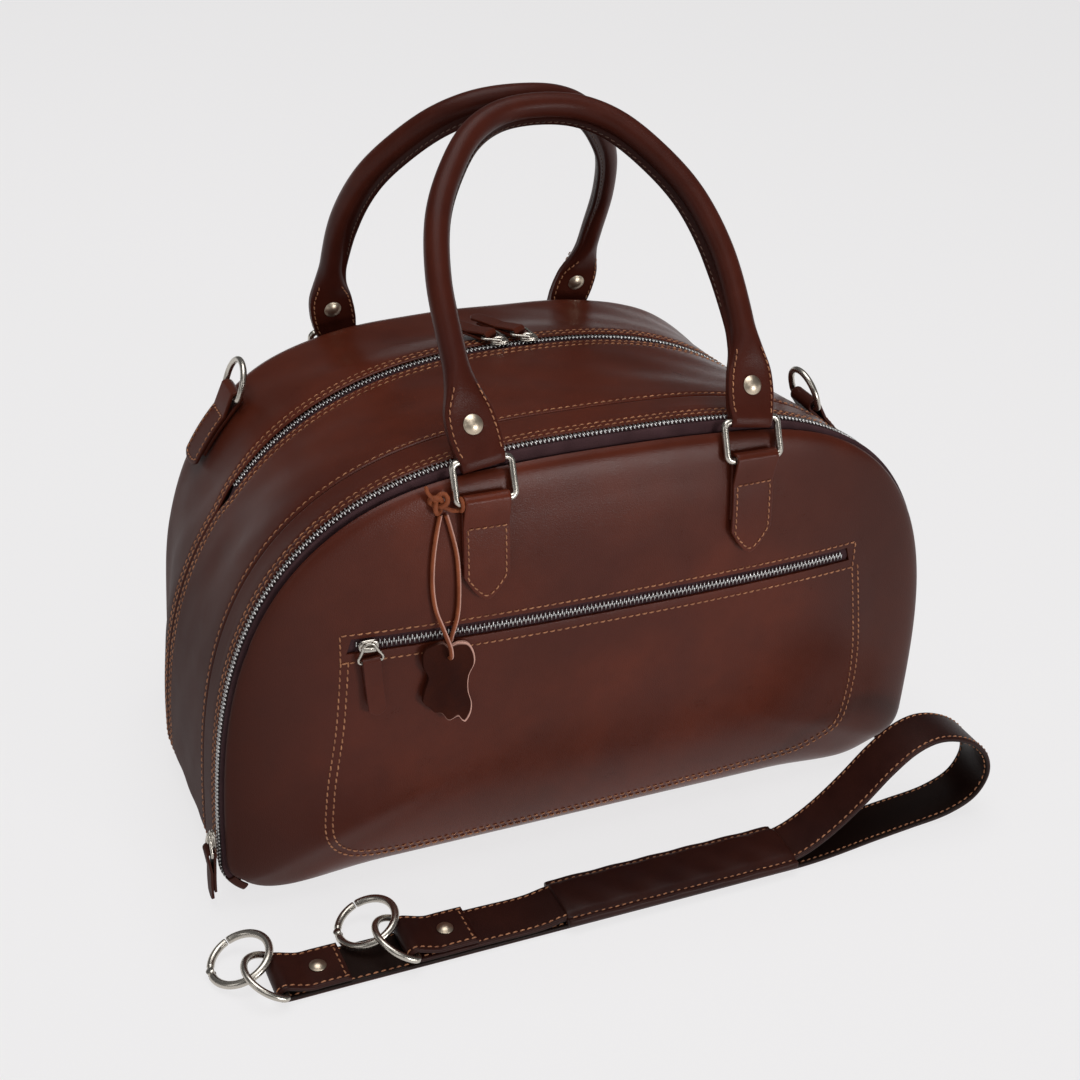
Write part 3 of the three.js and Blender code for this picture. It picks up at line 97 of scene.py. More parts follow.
class Node:
    """An output socket of a node in a material. Arithmetic on it adds Math nodes, node() adds any other."""

    def __init__(self, tree, socket=None):
        self.tree, self.socket = tree, socket

    def node(self, kind, settings=None, sockets=None, out=0):
        made = self.tree.nodes.new("ShaderNode" + kind)
        for key, value in (settings or {}).items():
            setattr(made, key, value)
        for key, value in (sockets or {}).items():
            if isinstance(value, Node):
                self.tree.links.new(value.socket, made.inputs[key])
            else:
                made.inputs[key].default_value = value
        return Node(self.tree, made.outputs[out])

    def math(self, operation, first, second, clamp=False):
        return self.node("Math", {"operation": operation, "use_clamp": clamp}, {0: first, 1: second})

    def __add__(self, other):
        return self.math("ADD", self, other)

    def __sub__(self, other):
        return self.math("SUBTRACT", self, other)

    def __rsub__(self, other):
        return self.math("SUBTRACT", other, self)

    def __mul__(self, other):
        return self.math("MULTIPLY", self, other)

    __radd__ = __add__
    __rmul__ = __mul__

    def clamped(self, low, high):
        """0 below low, 1 above high and straight between them."""
        return self.math("MULTIPLY", self - low, 1 / (high - low), clamp=True)

    def mixed(self, first, second):
        """The first colour where this value is 0, the second where it is 1."""
        return self.node("Mix", {"data_type": "RGBA"}, {0: self, 6: first, 7: second}, out=2)


def material(name):
    """A new material: its node wrapper and its principled shader."""
    made = bpy.data.materials.new(name)
    made.use_nodes = True
    return made, Node(made.node_tree), made.node_tree.nodes["Principled BSDF"]


def feed(shader, values):
    """Each named socket of the shader takes a constant, or a link from a node."""
    for name, value in values.items():
        if isinstance(value, Node):
            value.tree.links.new(value.socket, shader.inputs[name])
        else:
            shader.inputs[name].default_value = value


def rgba(colour, factor=1.0):
    """A colour made darker or lighter by a factor, with full alpha."""
    return (*[part * factor for part in colour], 1)


def noise(place, scale, detail, **more):
    """Noise over a place, with its scale, its detail and any other sockets."""
    return place.node("TexNoise", {}, {"Vector": place, "Scale": scale, "Detail": detail, **more})


def bump(height, strength, distance):
    """A normal tilted by a height."""
    return height.node("Bump", {}, {"Strength": strength, "Distance": distance, "Height": height})


PAPER, PAPER_GLOW = (0.12, 0.119, 0.12), (0.985, 0.975, 0.98)
FLOOR_HALF, FLOOR_Z = 60, -0.0004
paper, _, paper_shader = material("studio_paper")
feed(paper_shader, {"Base Color": rgba(PAPER), "Roughness": 0.9, "Specular IOR Level": 0.1,
                    "Emission Color": rgba(PAPER_GLOW), "Emission Strength": 0.76})
mesh = bpy.data.meshes.new("floor")
corners = [(FLOOR_HALF * x, FLOOR_HALF * y, FLOOR_Z) for x, y in ((-1, -1), (1, -1), (1, 1), (-1, 1))]
mesh.from_pydata(corners, [], [(0, 1, 2, 3)])
mesh.materials.append(paper)
floor = bpy.data.objects.new("floor", mesh)
scene.collection.objects.link(floor)

# Sides and top
# One arched skin of oiled brown leather, 2.2 mm thick, cut into three strips: a band behind the front zip
# and a wide strip on each side of the top zip. Their edges are turned in and stitched down.
LEATHER = 2.2
ARCHES = np.array([[-120, 230, 270, 3.11], [-84, 230, 269.5, 2.96], [12, 229, 270.5, 2.5],
                   [92, 209, 260, 3.2], [130, 210, 250, 2.85]])
CORNER_RADIUS, CORNER_HEIGHT = 40, 30
BACK_Y, BACK_EDGE = 120, 26
BACK_RIM_Y = BACK_Y - BACK_EDGE * (1 - np.sin(np.radians(70)))
HOLLOWS = [(-0.5, 46, 5, 0.1, 30), (0.44, 52, 5, 0.12, 28), (-0.13, 62, 4, 0.12, 22),
           (-0.52, -34, 3, 0.09, 24), (0.16, -36, 2.5, 0.12, 24)]
DEPTHS = np.linspace(-121, 119.5, 160)
TURNS = np.linspace(0, 1, 500)


def ease(low, high, value):
    """0 below low, 1 above high, and 3 t^2 - 2 t^3 between them."""
    t = np.clip((value - low) / (high - low), 0, 1)
    return t * t * (3 - 2 * t)


def unit(vectors):
    """Vectors of length 1 along the last axis."""
    return vectors / np.maximum(np.linalg.norm(vectors, axis=-1, keepdims=True), 1e-12)


def arch_table():
    """Half arches at every depth, sampled evenly along their length from the crown to the base edge: x, z
    and normal. The upper part is a superellipse |x/half|^p + |z/height|^p = 1, the corner below it a
    quarter of an ellipse."""
    row = np.clip(np.searchsorted(ARCHES[:, 0], DEPTHS) - 1, 0, len(ARCHES) - 2)
    t = ease(ARCHES[row, 0], ARCHES[row + 1, 0], DEPTHS)[:, None]
    half, crown, power = (ARCHES[row, 1:] * (1 - t) + ARCHES[row + 1, 1:] * t).T[:, :, None]
    share = np.linspace(0, 1, 401)
    even = np.pi / 4 * (2 * np.minimum(share, 1 - share)) ** (power / 2)
    angle = np.where(share <= 0.5, even, np.pi / 2 - even)
    corner = np.linspace(0, np.pi / 2, 61)[1:]
    x = half * np.sin(angle) ** (2 / power)
    z = CORNER_HEIGHT + (crown - CORNER_HEIGHT) * np.maximum(np.cos(angle), 0) ** (2 / power)
    x = np.concatenate([x, half - CORNER_RADIUS * (1 - np.cos(corner))], 1)
    z = np.concatenate([z, CORNER_HEIGHT * (1 - np.sin(corner)) + 0 * half], 1)
    run = np.concatenate([0 * half, np.cumsum(np.hypot(np.diff(x), np.diff(z)), 1)], 1)
    x, z = (np.stack([np.interp(TURNS * r[-1], r, v) for r, v in zip(run, c)]) for c in (x, z))
    dx, dz = np.gradient(x, axis=1), np.gradient(z, axis=1)
    size = np.hypot(dx, dz)
    return np.stack([x, z, -dz / size, dx / size], -1), run[:, -1]


ARCH, ARCH_RUN = arch_table()


def arch(y, turn):
    """The arch's x, z and outward normal at a depth and a turn, -1 at the left base edge, 0 at the crown, 1
    at the right base edge, interpolated in the table."""
    y, turn = np.broadcast_arrays(np.asarray(y, float), np.asarray(turn, float))
    row = (y - DEPTHS[0]) / (DEPTHS[1] - DEPTHS[0])
    column = np.minimum(np.abs(turn), 1) * (len(TURNS) - 1)
    i = np.clip(row.astype(int), 0, len(DEPTHS) - 2)
    j = np.clip(column.astype(int), 0, len(TURNS) - 2)
    f, g = (row - i)[..., None], (column - j)[..., None]
    low = ARCH[i, j] * (1 - g) + ARCH[i, j + 1] * g
    high = ARCH[i + 1, j] * (1 - g) + ARCH[i + 1, j + 1] * g
    x, z, nx, nz = np.moveaxis(low * (1 - f) + high * f, -1, 0)
    side = np.where(turn < 0, -1, 1)
    return x * side, z, nx * side, nz


def tuck(y):
    """How far the back edge's round draws the section in."""
    into = np.clip(y - (BACK_Y - BACK_EDGE), 0, BACK_EDGE)
    return BACK_EDGE - np.sqrt(BACK_EDGE ** 2 - into ** 2)


def skin(y, turn, lift=0.0):
    """The outer face of the sides and top: the arch, less the back edge's round and the soft hollows, plus
    lift."""
    x, z, nx, nz = arch(y, turn)
    depth = tuck(y) - lift
    for middle, across, deep, reach, spread in HOLLOWS:
        depth = depth + deep * np.exp(-((turn - middle) / reach) ** 2 - ((y - across) / spread) ** 2)
    return np.stack(np.broadcast_arrays(x - depth * nx, y, z - depth * nz), -1)


def skin_out(y, turn):
    """Unit normal of the skin, from its steps along and across."""
    along = skin(y, turn + 0.002) - skin(y, turn - 0.002)
    across = skin(y + 0.5, turn) - skin(y - 0.5, turn)
    return unit(np.cross(along, across))


def turn_at(y, z):
    """The turn at which the arch at a depth comes down to a height."""
    return float(np.interp(-z, -arch(y, TURNS)[1], TURNS))


def grid(points, rows_closed=False, columns_closed=False, keep=None):
    """Quads between neighbouring points of a grid (rows, columns, 3). keep is a mask of the quads to
    keep."""
    rows, columns = points.shape[:2]
    i, j = np.meshgrid(np.arange(rows - (not rows_closed)), np.arange(columns - (not columns_closed)),
                       indexing="ij")
    k, l = (i + 1) % rows, (j + 1) % columns
    quads = np.stack([i * columns + j, i * columns + l, k * columns + l, k * columns + j], -1)
    return points.reshape(-1, 3), (quads if keep is None else quads[keep]).reshape(-1, 4)


def together(*shapes):
    """Several shapes as one: their points in a row, and their quads counted on."""
    starts = np.cumsum([0] + [len(points) for points, _ in shapes])
    joined = np.concatenate([points for points, _ in shapes])
    return joined, np.concatenate([quads + start for (_, quads), start in zip(shapes, starts)])


def piece(name, shape, finish, body, slot, *nodes, wall=0.0, bevel=0.0, inset=-1.0):
    """A mesh from a shape in millimetres, riding on a body and standing for its CAD nodes. A sheet gets a
    wall. A third item of the shape is each point's tone, which its material reads."""
    points, quads, *tone = shape
    mesh = bpy.data.meshes.new(name)
    order = np.round(points, 4)
    _, first, same = np.unique(order, axis=0, return_index=True, return_inverse=True)
    faces = [list(dict.fromkeys(face)) for face in same.reshape(-1)[quads].tolist()]
    mesh.from_pydata((points[first] * 0.001).tolist(), [], [face for face in faces if len(face) > 2])
    mesh.polygons.foreach_set("use_smooth", np.ones(len(mesh.polygons), bool))
    if tone:
        values = mesh.attributes.new("tone", "FLOAT", "POINT").data
        values.foreach_set("value", tone[0][first].astype(np.float32))
    mesh.materials.append(finish)
    made = bpy.data.objects.new(name, mesh)
    scene.collection.objects.link(made)
    if wall:
        solid = made.modifiers.new("wall", "SOLIDIFY")
        solid.thickness, solid.offset, solid.use_even_offset = wall * 0.001, inset, True
    if bevel:
        rounding = made.modifiers.new("edge", "BEVEL")
        rounding.width, rounding.segments, rounding.limit_method = bevel * 0.001, 2, "ANGLE"
        rounding.angle_limit = np.radians(50)
    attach(made, body)
    if nodes:
        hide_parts(*nodes)
    return made


# Painted shade: the x ranges, in metres, over which the leather darkens towards the bag's left and right
# ends.
LEFT_SHADE_X, RIGHT_SHADE_X = (-0.165, -0.222), (0.1, 0.2)


def leather(name, deep, warm, patch=7.0, warmth=0.6, roughness=0.44, coat=0.04, grain=0.12, shine=0.11,
            other=None, ends=(0.0, 0.0)):
    """Smooth oiled leather: broad warm patches, dusky clouds, a fine mottle and faint creases between
    pebbles about a millimetre wide. Ends are shares of painted shade that darken the bag's left and right
    ends, other is the colour where tone is 1."""
    made, start, shader = material(name)
    place = start.node("TexCoord", out="Object")
    broad = noise(place, patch, 3.0, Roughness=0.5)
    mottle = noise(place, patch * 9, 6.0, Roughness=0.62)
    fine = noise(place, 1500.0, 3.0)
    streak = noise(place, 26.0, 8.0, Roughness=0.7, Distortion=1.2)
    dusk = noise(place, patch * 1.4, 2.0, Distortion=0.6)
    pebble = place.node("TexVoronoi", {"feature": "DISTANCE_TO_EDGE"}, {"Vector": place, "Scale": 820.0})
    colour = (broad.clamped(0.38, 0.66) * warmth).mixed(rgba(deep), rgba(warm))
    colour = (mottle.clamped(0.3, 0.7) * 0.3 + 0.7).mixed(rgba(deep, 0.55), colour)
    dusky = (deep[0] * 0.66, deep[1] * 0.74, deep[2] * 1.05)
    colour = (dusk.clamped(0.46, 0.66) * 0.42).mixed(colour, rgba(dusky))
    colour = (streak.clamped(0.58, 0.8) * 0.1).mixed(colour, rgba(warm, 1.25))
    rough = mottle * 0.16 + fine * 0.08 + (roughness - 0.12)
    # Painted shade: darker towards the bag's left and right ends. The left end is also made rougher.
    if any(ends):
        x = start.node("SeparateXYZ", {}, {"Vector": place})
        left_shade_mask = x.clamped(*LEFT_SHADE_X)
        colour = (left_shade_mask * ends[0] + x.clamped(*RIGHT_SHADE_X) * ends[1]).mixed(colour, rgba(deep, 0.42))
        rough = rough + left_shade_mask * 0.4
    # Where tone is 1 the colour is other: a cut edge or flesh side, and on the handles painted shade.
    if other:
        colour = start.node("Attribute", {"attribute_name": "tone"}, out="Fac").mixed(colour, rgba(other))
    height = pebble.clamped(0.0, 0.22) * 0.7 + fine * 0.5 + mottle * 0.8
    feed(shader, {"Base Color": colour, "Roughness": rough, "Specular IOR Level": shine,
                  "Coat Weight": coat, "Coat Roughness": 0.3, "Normal": bump(height, grain, 0.0006)})
    return made


# The body's leather, with painted shade at its left and right ends.
brown = leather("brown_leather", (0.072, 0.0142, 0.0068), (0.12, 0.0222, 0.0094), warmth=0.8,
                roughness=0.31, shine=0.14, ends=(0.8, 0.62))
BAND_FRONT, BAND_BACK, GAP = -110, -82, 0.35
MAIN_ZIP_Y, MAIN_ZIP_GAP, MAIN_ZIP_CLOSE = 12, 4.6, 0.05
main_end = turn_at(MAIN_ZIP_Y, 200)
EDGE_ROWS = np.array([0, 0.25, 0.6, 1.1, 1.8, 2.6, 3.3, 4.2, 5.4, 6.6, 7.5, 8.4, 10, 13])


def zip_edge(turn):
    """Half the width of the top zip's opening, which closes to a seam below its ends."""
    return np.maximum(GAP, MAIN_ZIP_GAP * (1 - ease(main_end, main_end + MAIN_ZIP_CLOSE, np.abs(turn))))


def relief(distance, rows):
    """The leather's height near an edge: it rolls down at the edge and dips under each row of thread."""
    height = -1.0 * np.exp(-distance / 0.55)
    for row in rows:
        height = height - 0.42 * np.exp(-((distance - row) / 0.95) ** 2)
    return height


def strip(front, rear, front_rows, rear_rows, inner):
    """A strip of the skin between two edges, given as depths by turn, with relief along both edges."""
    turn = np.linspace(-1, 1, 301)
    near, far = front(turn), rear(turn)
    depth = np.concatenate([near + EDGE_ROWS[:, None] * (far - near) / np.maximum(far - near, 27),
                            near + 13 + (far - near - 26) * np.linspace(0, 1, inner + 2)[1:-1, None],
                            far - EDGE_ROWS[::-1, None] * (far - near) / np.maximum(far - near, 27)])
    height = relief(depth - near, front_rows) + relief(far - depth, rear_rows)
    slack = 0.5 * np.sin(turn * 31 + depth * 0.09) * np.sin(depth * 0.07 + turn * 9 + 1)
    slack = slack * ease(8, 26, np.minimum(depth - near, far - depth))
    out = skin_out(depth, turn[None] + 0 * depth)
    return grid(skin(depth, turn[None] + 0 * depth) + out * (height + slack)[..., None])


ONE_ROW, TWO_ROWS = (3.2,), (3.0, 7.2)
shape = strip(lambda t: BAND_FRONT + 0 * t, lambda t: BAND_BACK - GAP + 0 * t, TWO_ROWS, (), 3)
piece("band_leather", shape, brown, "bag", "leather", "front_band", wall=LEATHER)
shape = strip(lambda t: BAND_BACK + 0 * t, lambda t: MAIN_ZIP_Y - zip_edge(t), ONE_ROW, TWO_ROWS, 14)
piece("front_gusset", shape, brown, "bag", "leather", "front_side", wall=LEATHER)
shape = strip(lambda t: MAIN_ZIP_Y + zip_edge(t), lambda t: BACK_RIM_Y + 0 * t, TWO_ROWS, (), 20)
piece("rear_gusset", shape, brown, "bag", "leather", "back_side", wall=LEATHER)

# Thread
# Waxed tan thread, sewn by machine in rows along the leather's edges and seams: stitches about 3.5 mm long
# that sink into the leather at their ends, and finer ones on the small parts.
STITCH_PITCH, STITCH_LENGTH, STITCH_RADIUS = 4.5, 3.5, 0.5
FINE_STITCH = dict(pitch=3.9, length=3.0)


def waxed_thread(name, dark, light):
    """Thread in two tones that change slowly along it, with a fine twist."""
    made, start, shader = material(name)
    place = start.node("TexCoord", out="Object")
    tone = noise(place, 130.0, 3.0).clamped(0.3, 0.7).mixed(rgba(dark), rgba(light))
    twist = place.node("TexWave", {}, {"Vector": place, "Scale": 900.0, "Distortion": 2.0})
    feed(shader, {"Base Color": tone, "Roughness": 0.6, "Normal": bump(twist, 0.3, 0.0002)})
    return made


thread = waxed_thread("tan_thread", (0.22, 0.076, 0.03), (0.44, 0.19, 0.086))


def along(path, distances):
    """Points of a polyline at distances along it, for any number of columns."""
    run = np.concatenate([[0], np.cumsum(np.linalg.norm(np.diff(path[:, :3], axis=0), axis=1))])
    return np.stack([np.interp(distances, run, column) for column in path.T], -1), run[-1]


def outward(shape):
    """A closed shape with its faces out: the sum of the tetrahedra from the origin to its faces is made
    positive."""
    points, quads = shape
    a, b, c, d = (points[quads[:, k]] for k in range(4))
    volume = np.einsum("ij,ij", a, np.cross(b, c) + np.cross(c, d))
    return points, (quads if volume > 0 else quads[:, ::-1])


def copies(rings):
    """Many like bodies from an array (bodies, rings, sides, 3), each a run of rings that ends in poles."""
    bodies, count, sides = rings.shape[:3]
    _, quads = grid(rings[0], columns_closed=True)
    starts = np.arange(bodies)[:, None, None] * count * sides
    return outward((rings.reshape(-1, 3), (quads[None] + starts).reshape(-1, 4)))


def stitches(path, out, pitch=STITCH_PITCH, length=STITCH_LENGTH, radius=STITCH_RADIUS, slant=0.12):
    """A row of stitches along a path: each is a five-sided spindle laid along it, a little slanted, its
    ends sunk."""
    joined = np.concatenate([path, out], 1)
    total = along(path, 0)[1]
    count = max(2, int(round(total / pitch)))
    middle = (np.arange(count) + 0.5) * total / count
    centre = along(joined, middle)[0]
    ahead = unit(along(path, middle + 0.6)[0] - along(path, middle - 0.6)[0])
    rise = unit(centre[:, 3:])
    side = unit(np.cross(rise, ahead))
    ahead = unit(ahead + slant * side)
    side = np.cross(rise, ahead)
    share = np.array([-1, -0.86, -0.4, 0.4, 0.86, 1])
    girth = radius * np.array([0, 0.72, 1, 1, 0.72, 0])
    sink = radius * np.array([-0.9, -0.5, 0.3, 0.3, -0.5, -0.9])
    angle = np.arange(5) * 2 * np.pi / 5
    line = centre[:, None, :3] + ahead[:, None] * (share * length / 2)[:, None]
    line = line + rise[:, None] * sink[:, None]
    ring = rise[:, None, None] * np.cos(angle)[:, None] + side[:, None, None] * np.sin(angle)[:, None]
    return copies(line[:, :, None] + ring * girth[None, :, None, None])


def skin_row(depth, low=-0.93, high=0.93):
    """A row of stitches along the skin at a depth that may change with the turn."""
    turn = np.linspace(low, high, 400)
    y = depth(turn)
    out = skin_out(y, turn)
    return stitches(skin(y, turn) - 0.3 * out, out)


rows = [skin_row(lambda t, d=d: BAND_FRONT + d + 0 * t) for d in TWO_ROWS]
rows += [skin_row(lambda t: BAND_BACK + ONE_ROW[0] + 0 * t)]
rows += [skin_row(lambda t, d=d: MAIN_ZIP_Y - zip_edge(t) - d) for d in TWO_ROWS]
rows += [skin_row(lambda t, d=d: MAIN_ZIP_Y + zip_edge(t) + d) for d in TWO_ROWS]
piece("gusset_thread", together(*rows), thread, "bag", "leather")

# Front panel
# A domed panel of the same leather that carries the pocket. Its edge is turned in against the front zip's
# tape, and a slit is cut across it for the pocket's zip.
FRONT = dict(middle=118, rim=-120.5, peak=-140, inset=10, power=2, sign=-1)
REAR = dict(middle=112, rim=BACK_RIM_Y, peak=122, inset=2.6, power=1.6, sign=1)
RIM_DROP, FRONT_ARCH_Y, LOW_RIM_Y = 14, -120, -111.5
POCKET_Z, POCKET_HALF, SLOT_HALF, SHOULDER_Z = 171.5, 160, 4.5, 214
PANEL_PUFF, PANEL_TURN_UNDER = (8.2, 3.4), 6


def rim(panel, arch_y, low_y):
    """A panel's outline (x, y, z): the arch, drawn in along its normal, its lowest stretch led to the
    base's edge."""
    turn = np.linspace(-1, 1, 1201)
    x, z, nx, nz = arch(arch_y, turn)
    rise = np.ones_like(turn) if low_y is None else ease(1, RIM_DROP, z)
    inset = tuck(arch_y) + GAP + (panel["inset"] - GAP) * rise
    y = panel["rim"] + 0 * turn if low_y is None else low_y + (panel["rim"] - low_y) * rise
    return np.stack([x - inset * nx, y, np.maximum(z - inset * nz, tuck(arch_y))], -1)


def panel_share(panel, x, z):
    """The share of the way from a panel's middle to its outline in a point's direction, and the outline's
    depth there."""
    outline = panel["outline"]
    foot = outline[-1] + (outline[0] - outline[-1]) * np.linspace(0, 1, 120)[1:-1, None]
    ring = np.concatenate([outline, foot])
    around = np.arctan2(ring[:, 0], ring[:, 2] - panel["middle"])
    want = np.arctan2(x, z - panel["middle"])
    reach = np.interp(want, around, np.hypot(ring[:, 0], ring[:, 2] - panel["middle"]), period=2 * np.pi)
    edge = np.interp(want, around, ring[:, 1], period=2 * np.pi)
    return np.minimum(np.hypot(x, z - panel["middle"]) / reach, 1), edge


def dome(panel, x, z):
    """Depth of a panel's face: y = rim + (peak - rim)(1 - r^p)^(1/p), where r is the share of the way to
    the outline."""
    r, edge = panel_share(panel, x, z)
    return edge + (panel["peak"] - edge) * (1 - r ** panel["power"]) ** (1 / panel["power"])


def face_out(panel, x, z):
    """Unit normal of a panel's face, from its slopes."""
    slope_x = (dome(panel, x + 1, z) - dome(panel, x - 1, z)) / 2
    slope_z = (dome(panel, x, z + 1) - dome(panel, x, z - 1)) / 2
    return unit(np.stack([-slope_x, np.ones_like(slope_x), -slope_z], -1)) * panel["sign"]


def on_face(panel, x, z, height=0.0):
    """A point at a height above a panel's face."""
    x, z, height = np.broadcast_arrays(np.asarray(x, float), np.asarray(z, float),
                                       np.asarray(height, float))
    return np.stack([x, dome(panel, x, z), z], -1) + face_out(panel, x, z) * height[..., None]


FRONT["outline"] = rim(FRONT, FRONT_ARCH_Y, LOW_RIM_Y)
REAR["outline"] = rim(REAR, BACK_RIM_Y, None)


def patch(bottom, top, left, right):
    """A patch between four edges: the two ruled surfaces of its opposite edges, less the one of its
    corners."""
    s = np.linspace(0, 1, len(bottom))[None, :, None]
    w = np.linspace(0, 1, len(left))[:, None, None]
    ruled = bottom[None] * (1 - w) + top[None] * w + left[:, None] * (1 - s) + right[:, None] * s
    corners = (bottom[:1] * (1 - s) + bottom[-1:] * s) * (1 - w) + (top[:1] * (1 - s) + top[-1:] * s) * w
    return ruled - corners


def edge_of(outline, low, high, shares):
    """Points of the outline's right half between two heights, in x and z, closer together where shares
    are."""
    half = outline[len(outline) // 2:]
    run = np.concatenate([[0], np.cumsum(np.hypot(*np.diff(half[:, [0, 2]], axis=0).T))])
    first, last = (np.interp(-z, -half[:, 2], run) for z in (low, high))
    at = first + (last - first) * shares
    return np.stack([np.interp(at, run, half[:, 0]), np.interp(at, run, half[:, 2])], -1)


def panel_sheet(panel, low_z, high_z):
    """A panel's grid in x and z, as patches below, beside and above a level cut across it, with the cut's
    first and last rows and its columns. The columns crowd towards the sides as a cosine does."""
    outline = panel["outline"]
    mirror = np.array([-1, 1])
    across = -np.cos(np.pi * np.linspace(0, 1, 121))

    def level(z):
        return np.stack([across * edge_of(outline, z, z, np.zeros(1))[0, 0], z + 0 * across], -1)

    side = edge_of(outline, 1e-3 + outline[0, 2], low_z, np.linspace(0, 1, 50) ** 2)
    side[0] = outline[-1, [0, 2]]
    foot = np.stack([across * side[0, 0], side[0, 1] + 0 * across], -1)
    lower = patch(foot, level(low_z), side * mirror, side)
    share = np.linspace(0, 1, 4)[1:, None, None]
    middle = level(low_z) * (1 - share) + level(high_z) * share
    flank = edge_of(outline, high_z, SHOULDER_Z, np.linspace(0, 1, 44))
    crown = edge_of(outline, SHOULDER_Z, outline[:, 2].max(), np.linspace(0, 1, 61))
    crown = np.concatenate([crown[:-1] * mirror, crown[::-1]])
    upper = patch(level(high_z), crown, flank * mirror, flank)[1:]
    hole = np.abs(across) < POCKET_HALF / level(high_z)[-1, 0] - 1e-6
    return np.concatenate([lower, middle, upper]), (len(lower) - 1, len(lower) + len(middle) - 1), hole


flat, slot_rows, in_slot = panel_sheet(FRONT, POCKET_Z - SLOT_HALF, POCKET_Z + SLOT_HALF)
keep = np.ones((flat.shape[0] - 1, flat.shape[1] - 1), bool)
keep[slot_rows[0]:slot_rows[1]] = ~(in_slot[1:] & in_slot[:-1])
x, z = np.moveaxis(flat, -1, 0)
sheet = np.stack([x, dome(FRONT, x, z), z], -1)
puff = PANEL_PUFF[1] + (PANEL_PUFF[0] - PANEL_PUFF[1]) * ease(50, 150, np.abs(x))
puff = puff * ease(3, 40, z) * ease(0.84, 1, panel_share(FRONT, x, z)[0])
sheet[..., [0, 2]] += unit(flat - [0, FRONT["middle"]]) * puff[..., None]
under = PANEL_TURN_UNDER * (1 - np.clip(z / 22, 0, 1)) ** 2 * (1 - ease(130, 185, np.abs(x)))
sheet[..., 1] += under - 0.2 * puff
piece("front_panel_leather", grid(sheet, keep=keep), brown, "bag", "leather", "front_panel", wall=LEATHER,
      bevel=0.5)

# Pocket's seam
# The pocket's lining bag is sewn through the panel with two rows of tan thread, which follow the panel's
# foot and lean out towards it at the sides. One more row frames the slit and holds the zip's tape.
POCKET_SEAM = np.array([[-163, 163], [-166, 119], [-171.5, 72], [-171, 42], [-161, 27], [-142, 19.5],
                        [-60, 16.5], [21, 17.5], [109, 22], [150, 27], [173, 42], [179, 68], [178, 100],
                        [172, 136], [167, 163]])
LIP_LOW, LIP_HIGH = 10, 7.2


def smooth_path(points, count):
    """A centripetal Catmull-Rom curve through points, resampled evenly along its length."""
    p = np.asarray(points, float)
    p = np.concatenate([2 * p[:1] - p[1:2], p, 2 * p[-1:] - p[-2:-1]])
    knots = np.concatenate([[0], np.cumsum(np.linalg.norm(np.diff(p, axis=0), axis=1) ** 0.5)])
    t = np.linspace(knots[1], knots[-2], 24 * len(p))
    i = np.clip(np.searchsorted(knots, t, "right") - 1, 1, len(p) - 3)

    def blend(a, b, ta, tb):
        return a * (tb - t[:, None]) / (tb - ta) + b * (t[:, None] - ta) / (tb - ta)

    p0, p1, p2, p3 = (p[i + k] for k in range(-1, 3))
    t0, t1, t2, t3 = (knots[i + k][:, None] for k in range(-1, 3))
    a1, a2, a3 = blend(p0, p1, t0, t1), blend(p1, p2, t1, t2), blend(p2, p3, t2, t3)
    line = blend(blend(a1, a2, t0, t2), blend(a2, a3, t1, t3), t1, t2)
    run = np.concatenate([[0], np.cumsum(np.linalg.norm(np.diff(line, axis=0), axis=1))])
    return np.stack([np.interp(np.linspace(0, run[-1], count), run, column) for column in line.T], -1)


def beside(path, distance):
    """A flat path moved sideways by a distance."""
    ahead = unit(np.gradient(path, axis=0))
    return path + distance * np.stack([-ahead[:, 1], ahead[:, 0]], -1)


def face_row(panel, path, **sizes):
    """A row of stitches along a flat path laid on a panel."""
    return stitches(on_face(panel, path[:, 0], path[:, 1], 0.05), face_out(panel, path[:, 0], path[:, 1]),
                    **sizes)


seam = smooth_path(POCKET_SEAM, 500)
slit_end = POCKET_HALF + 3.2
low, high = POCKET_Z - LIP_LOW, POCKET_Z + LIP_HIGH
corners = np.array([[-slit_end, low], [slit_end, low], [slit_end, high], [-slit_end, high],
                    [-slit_end, low]])
sides = [np.linspace(a, b, 200) for a, b in zip(corners[:-1], corners[1:])]
rows = [face_row(FRONT, path) for path in (seam, beside(seam, 4.2), *sides)]
piece("pocket_thread", together(*rows), thread, "bag", "leather")

# Back panel and base
# Both are plain pieces of the same leather, sewn in along their edges. The back panel bulges a little, and
# the base is flat and turns up into the rounded back edge.
x, z = np.moveaxis(panel_sheet(REAR, 110, 114)[0], -1, 0)
sheet = np.stack([x, dome(REAR, x, z), z], -1)
piece("back_panel_leather", grid(sheet[:, ::-1]), brown, "bag", "leather", "back_panel", wall=LEATHER)
depth = np.concatenate([np.linspace(BAND_FRONT + 4, 94, 40), np.linspace(94, BACK_RIM_Y, 14)[1:]])[:, None]
width = np.linspace(-1, 1, 41)[None]
half_base = arch(depth, 1.0 + 0 * depth)[0] - 1.5
sheet = np.stack(np.broadcast_arrays(width * half_base, depth, tuck(depth) + 0.0 * width), -1)
piece("base_leather", grid(sheet[:, ::-1]), brown, "bag", "leather", "base", wall=LEATHER)

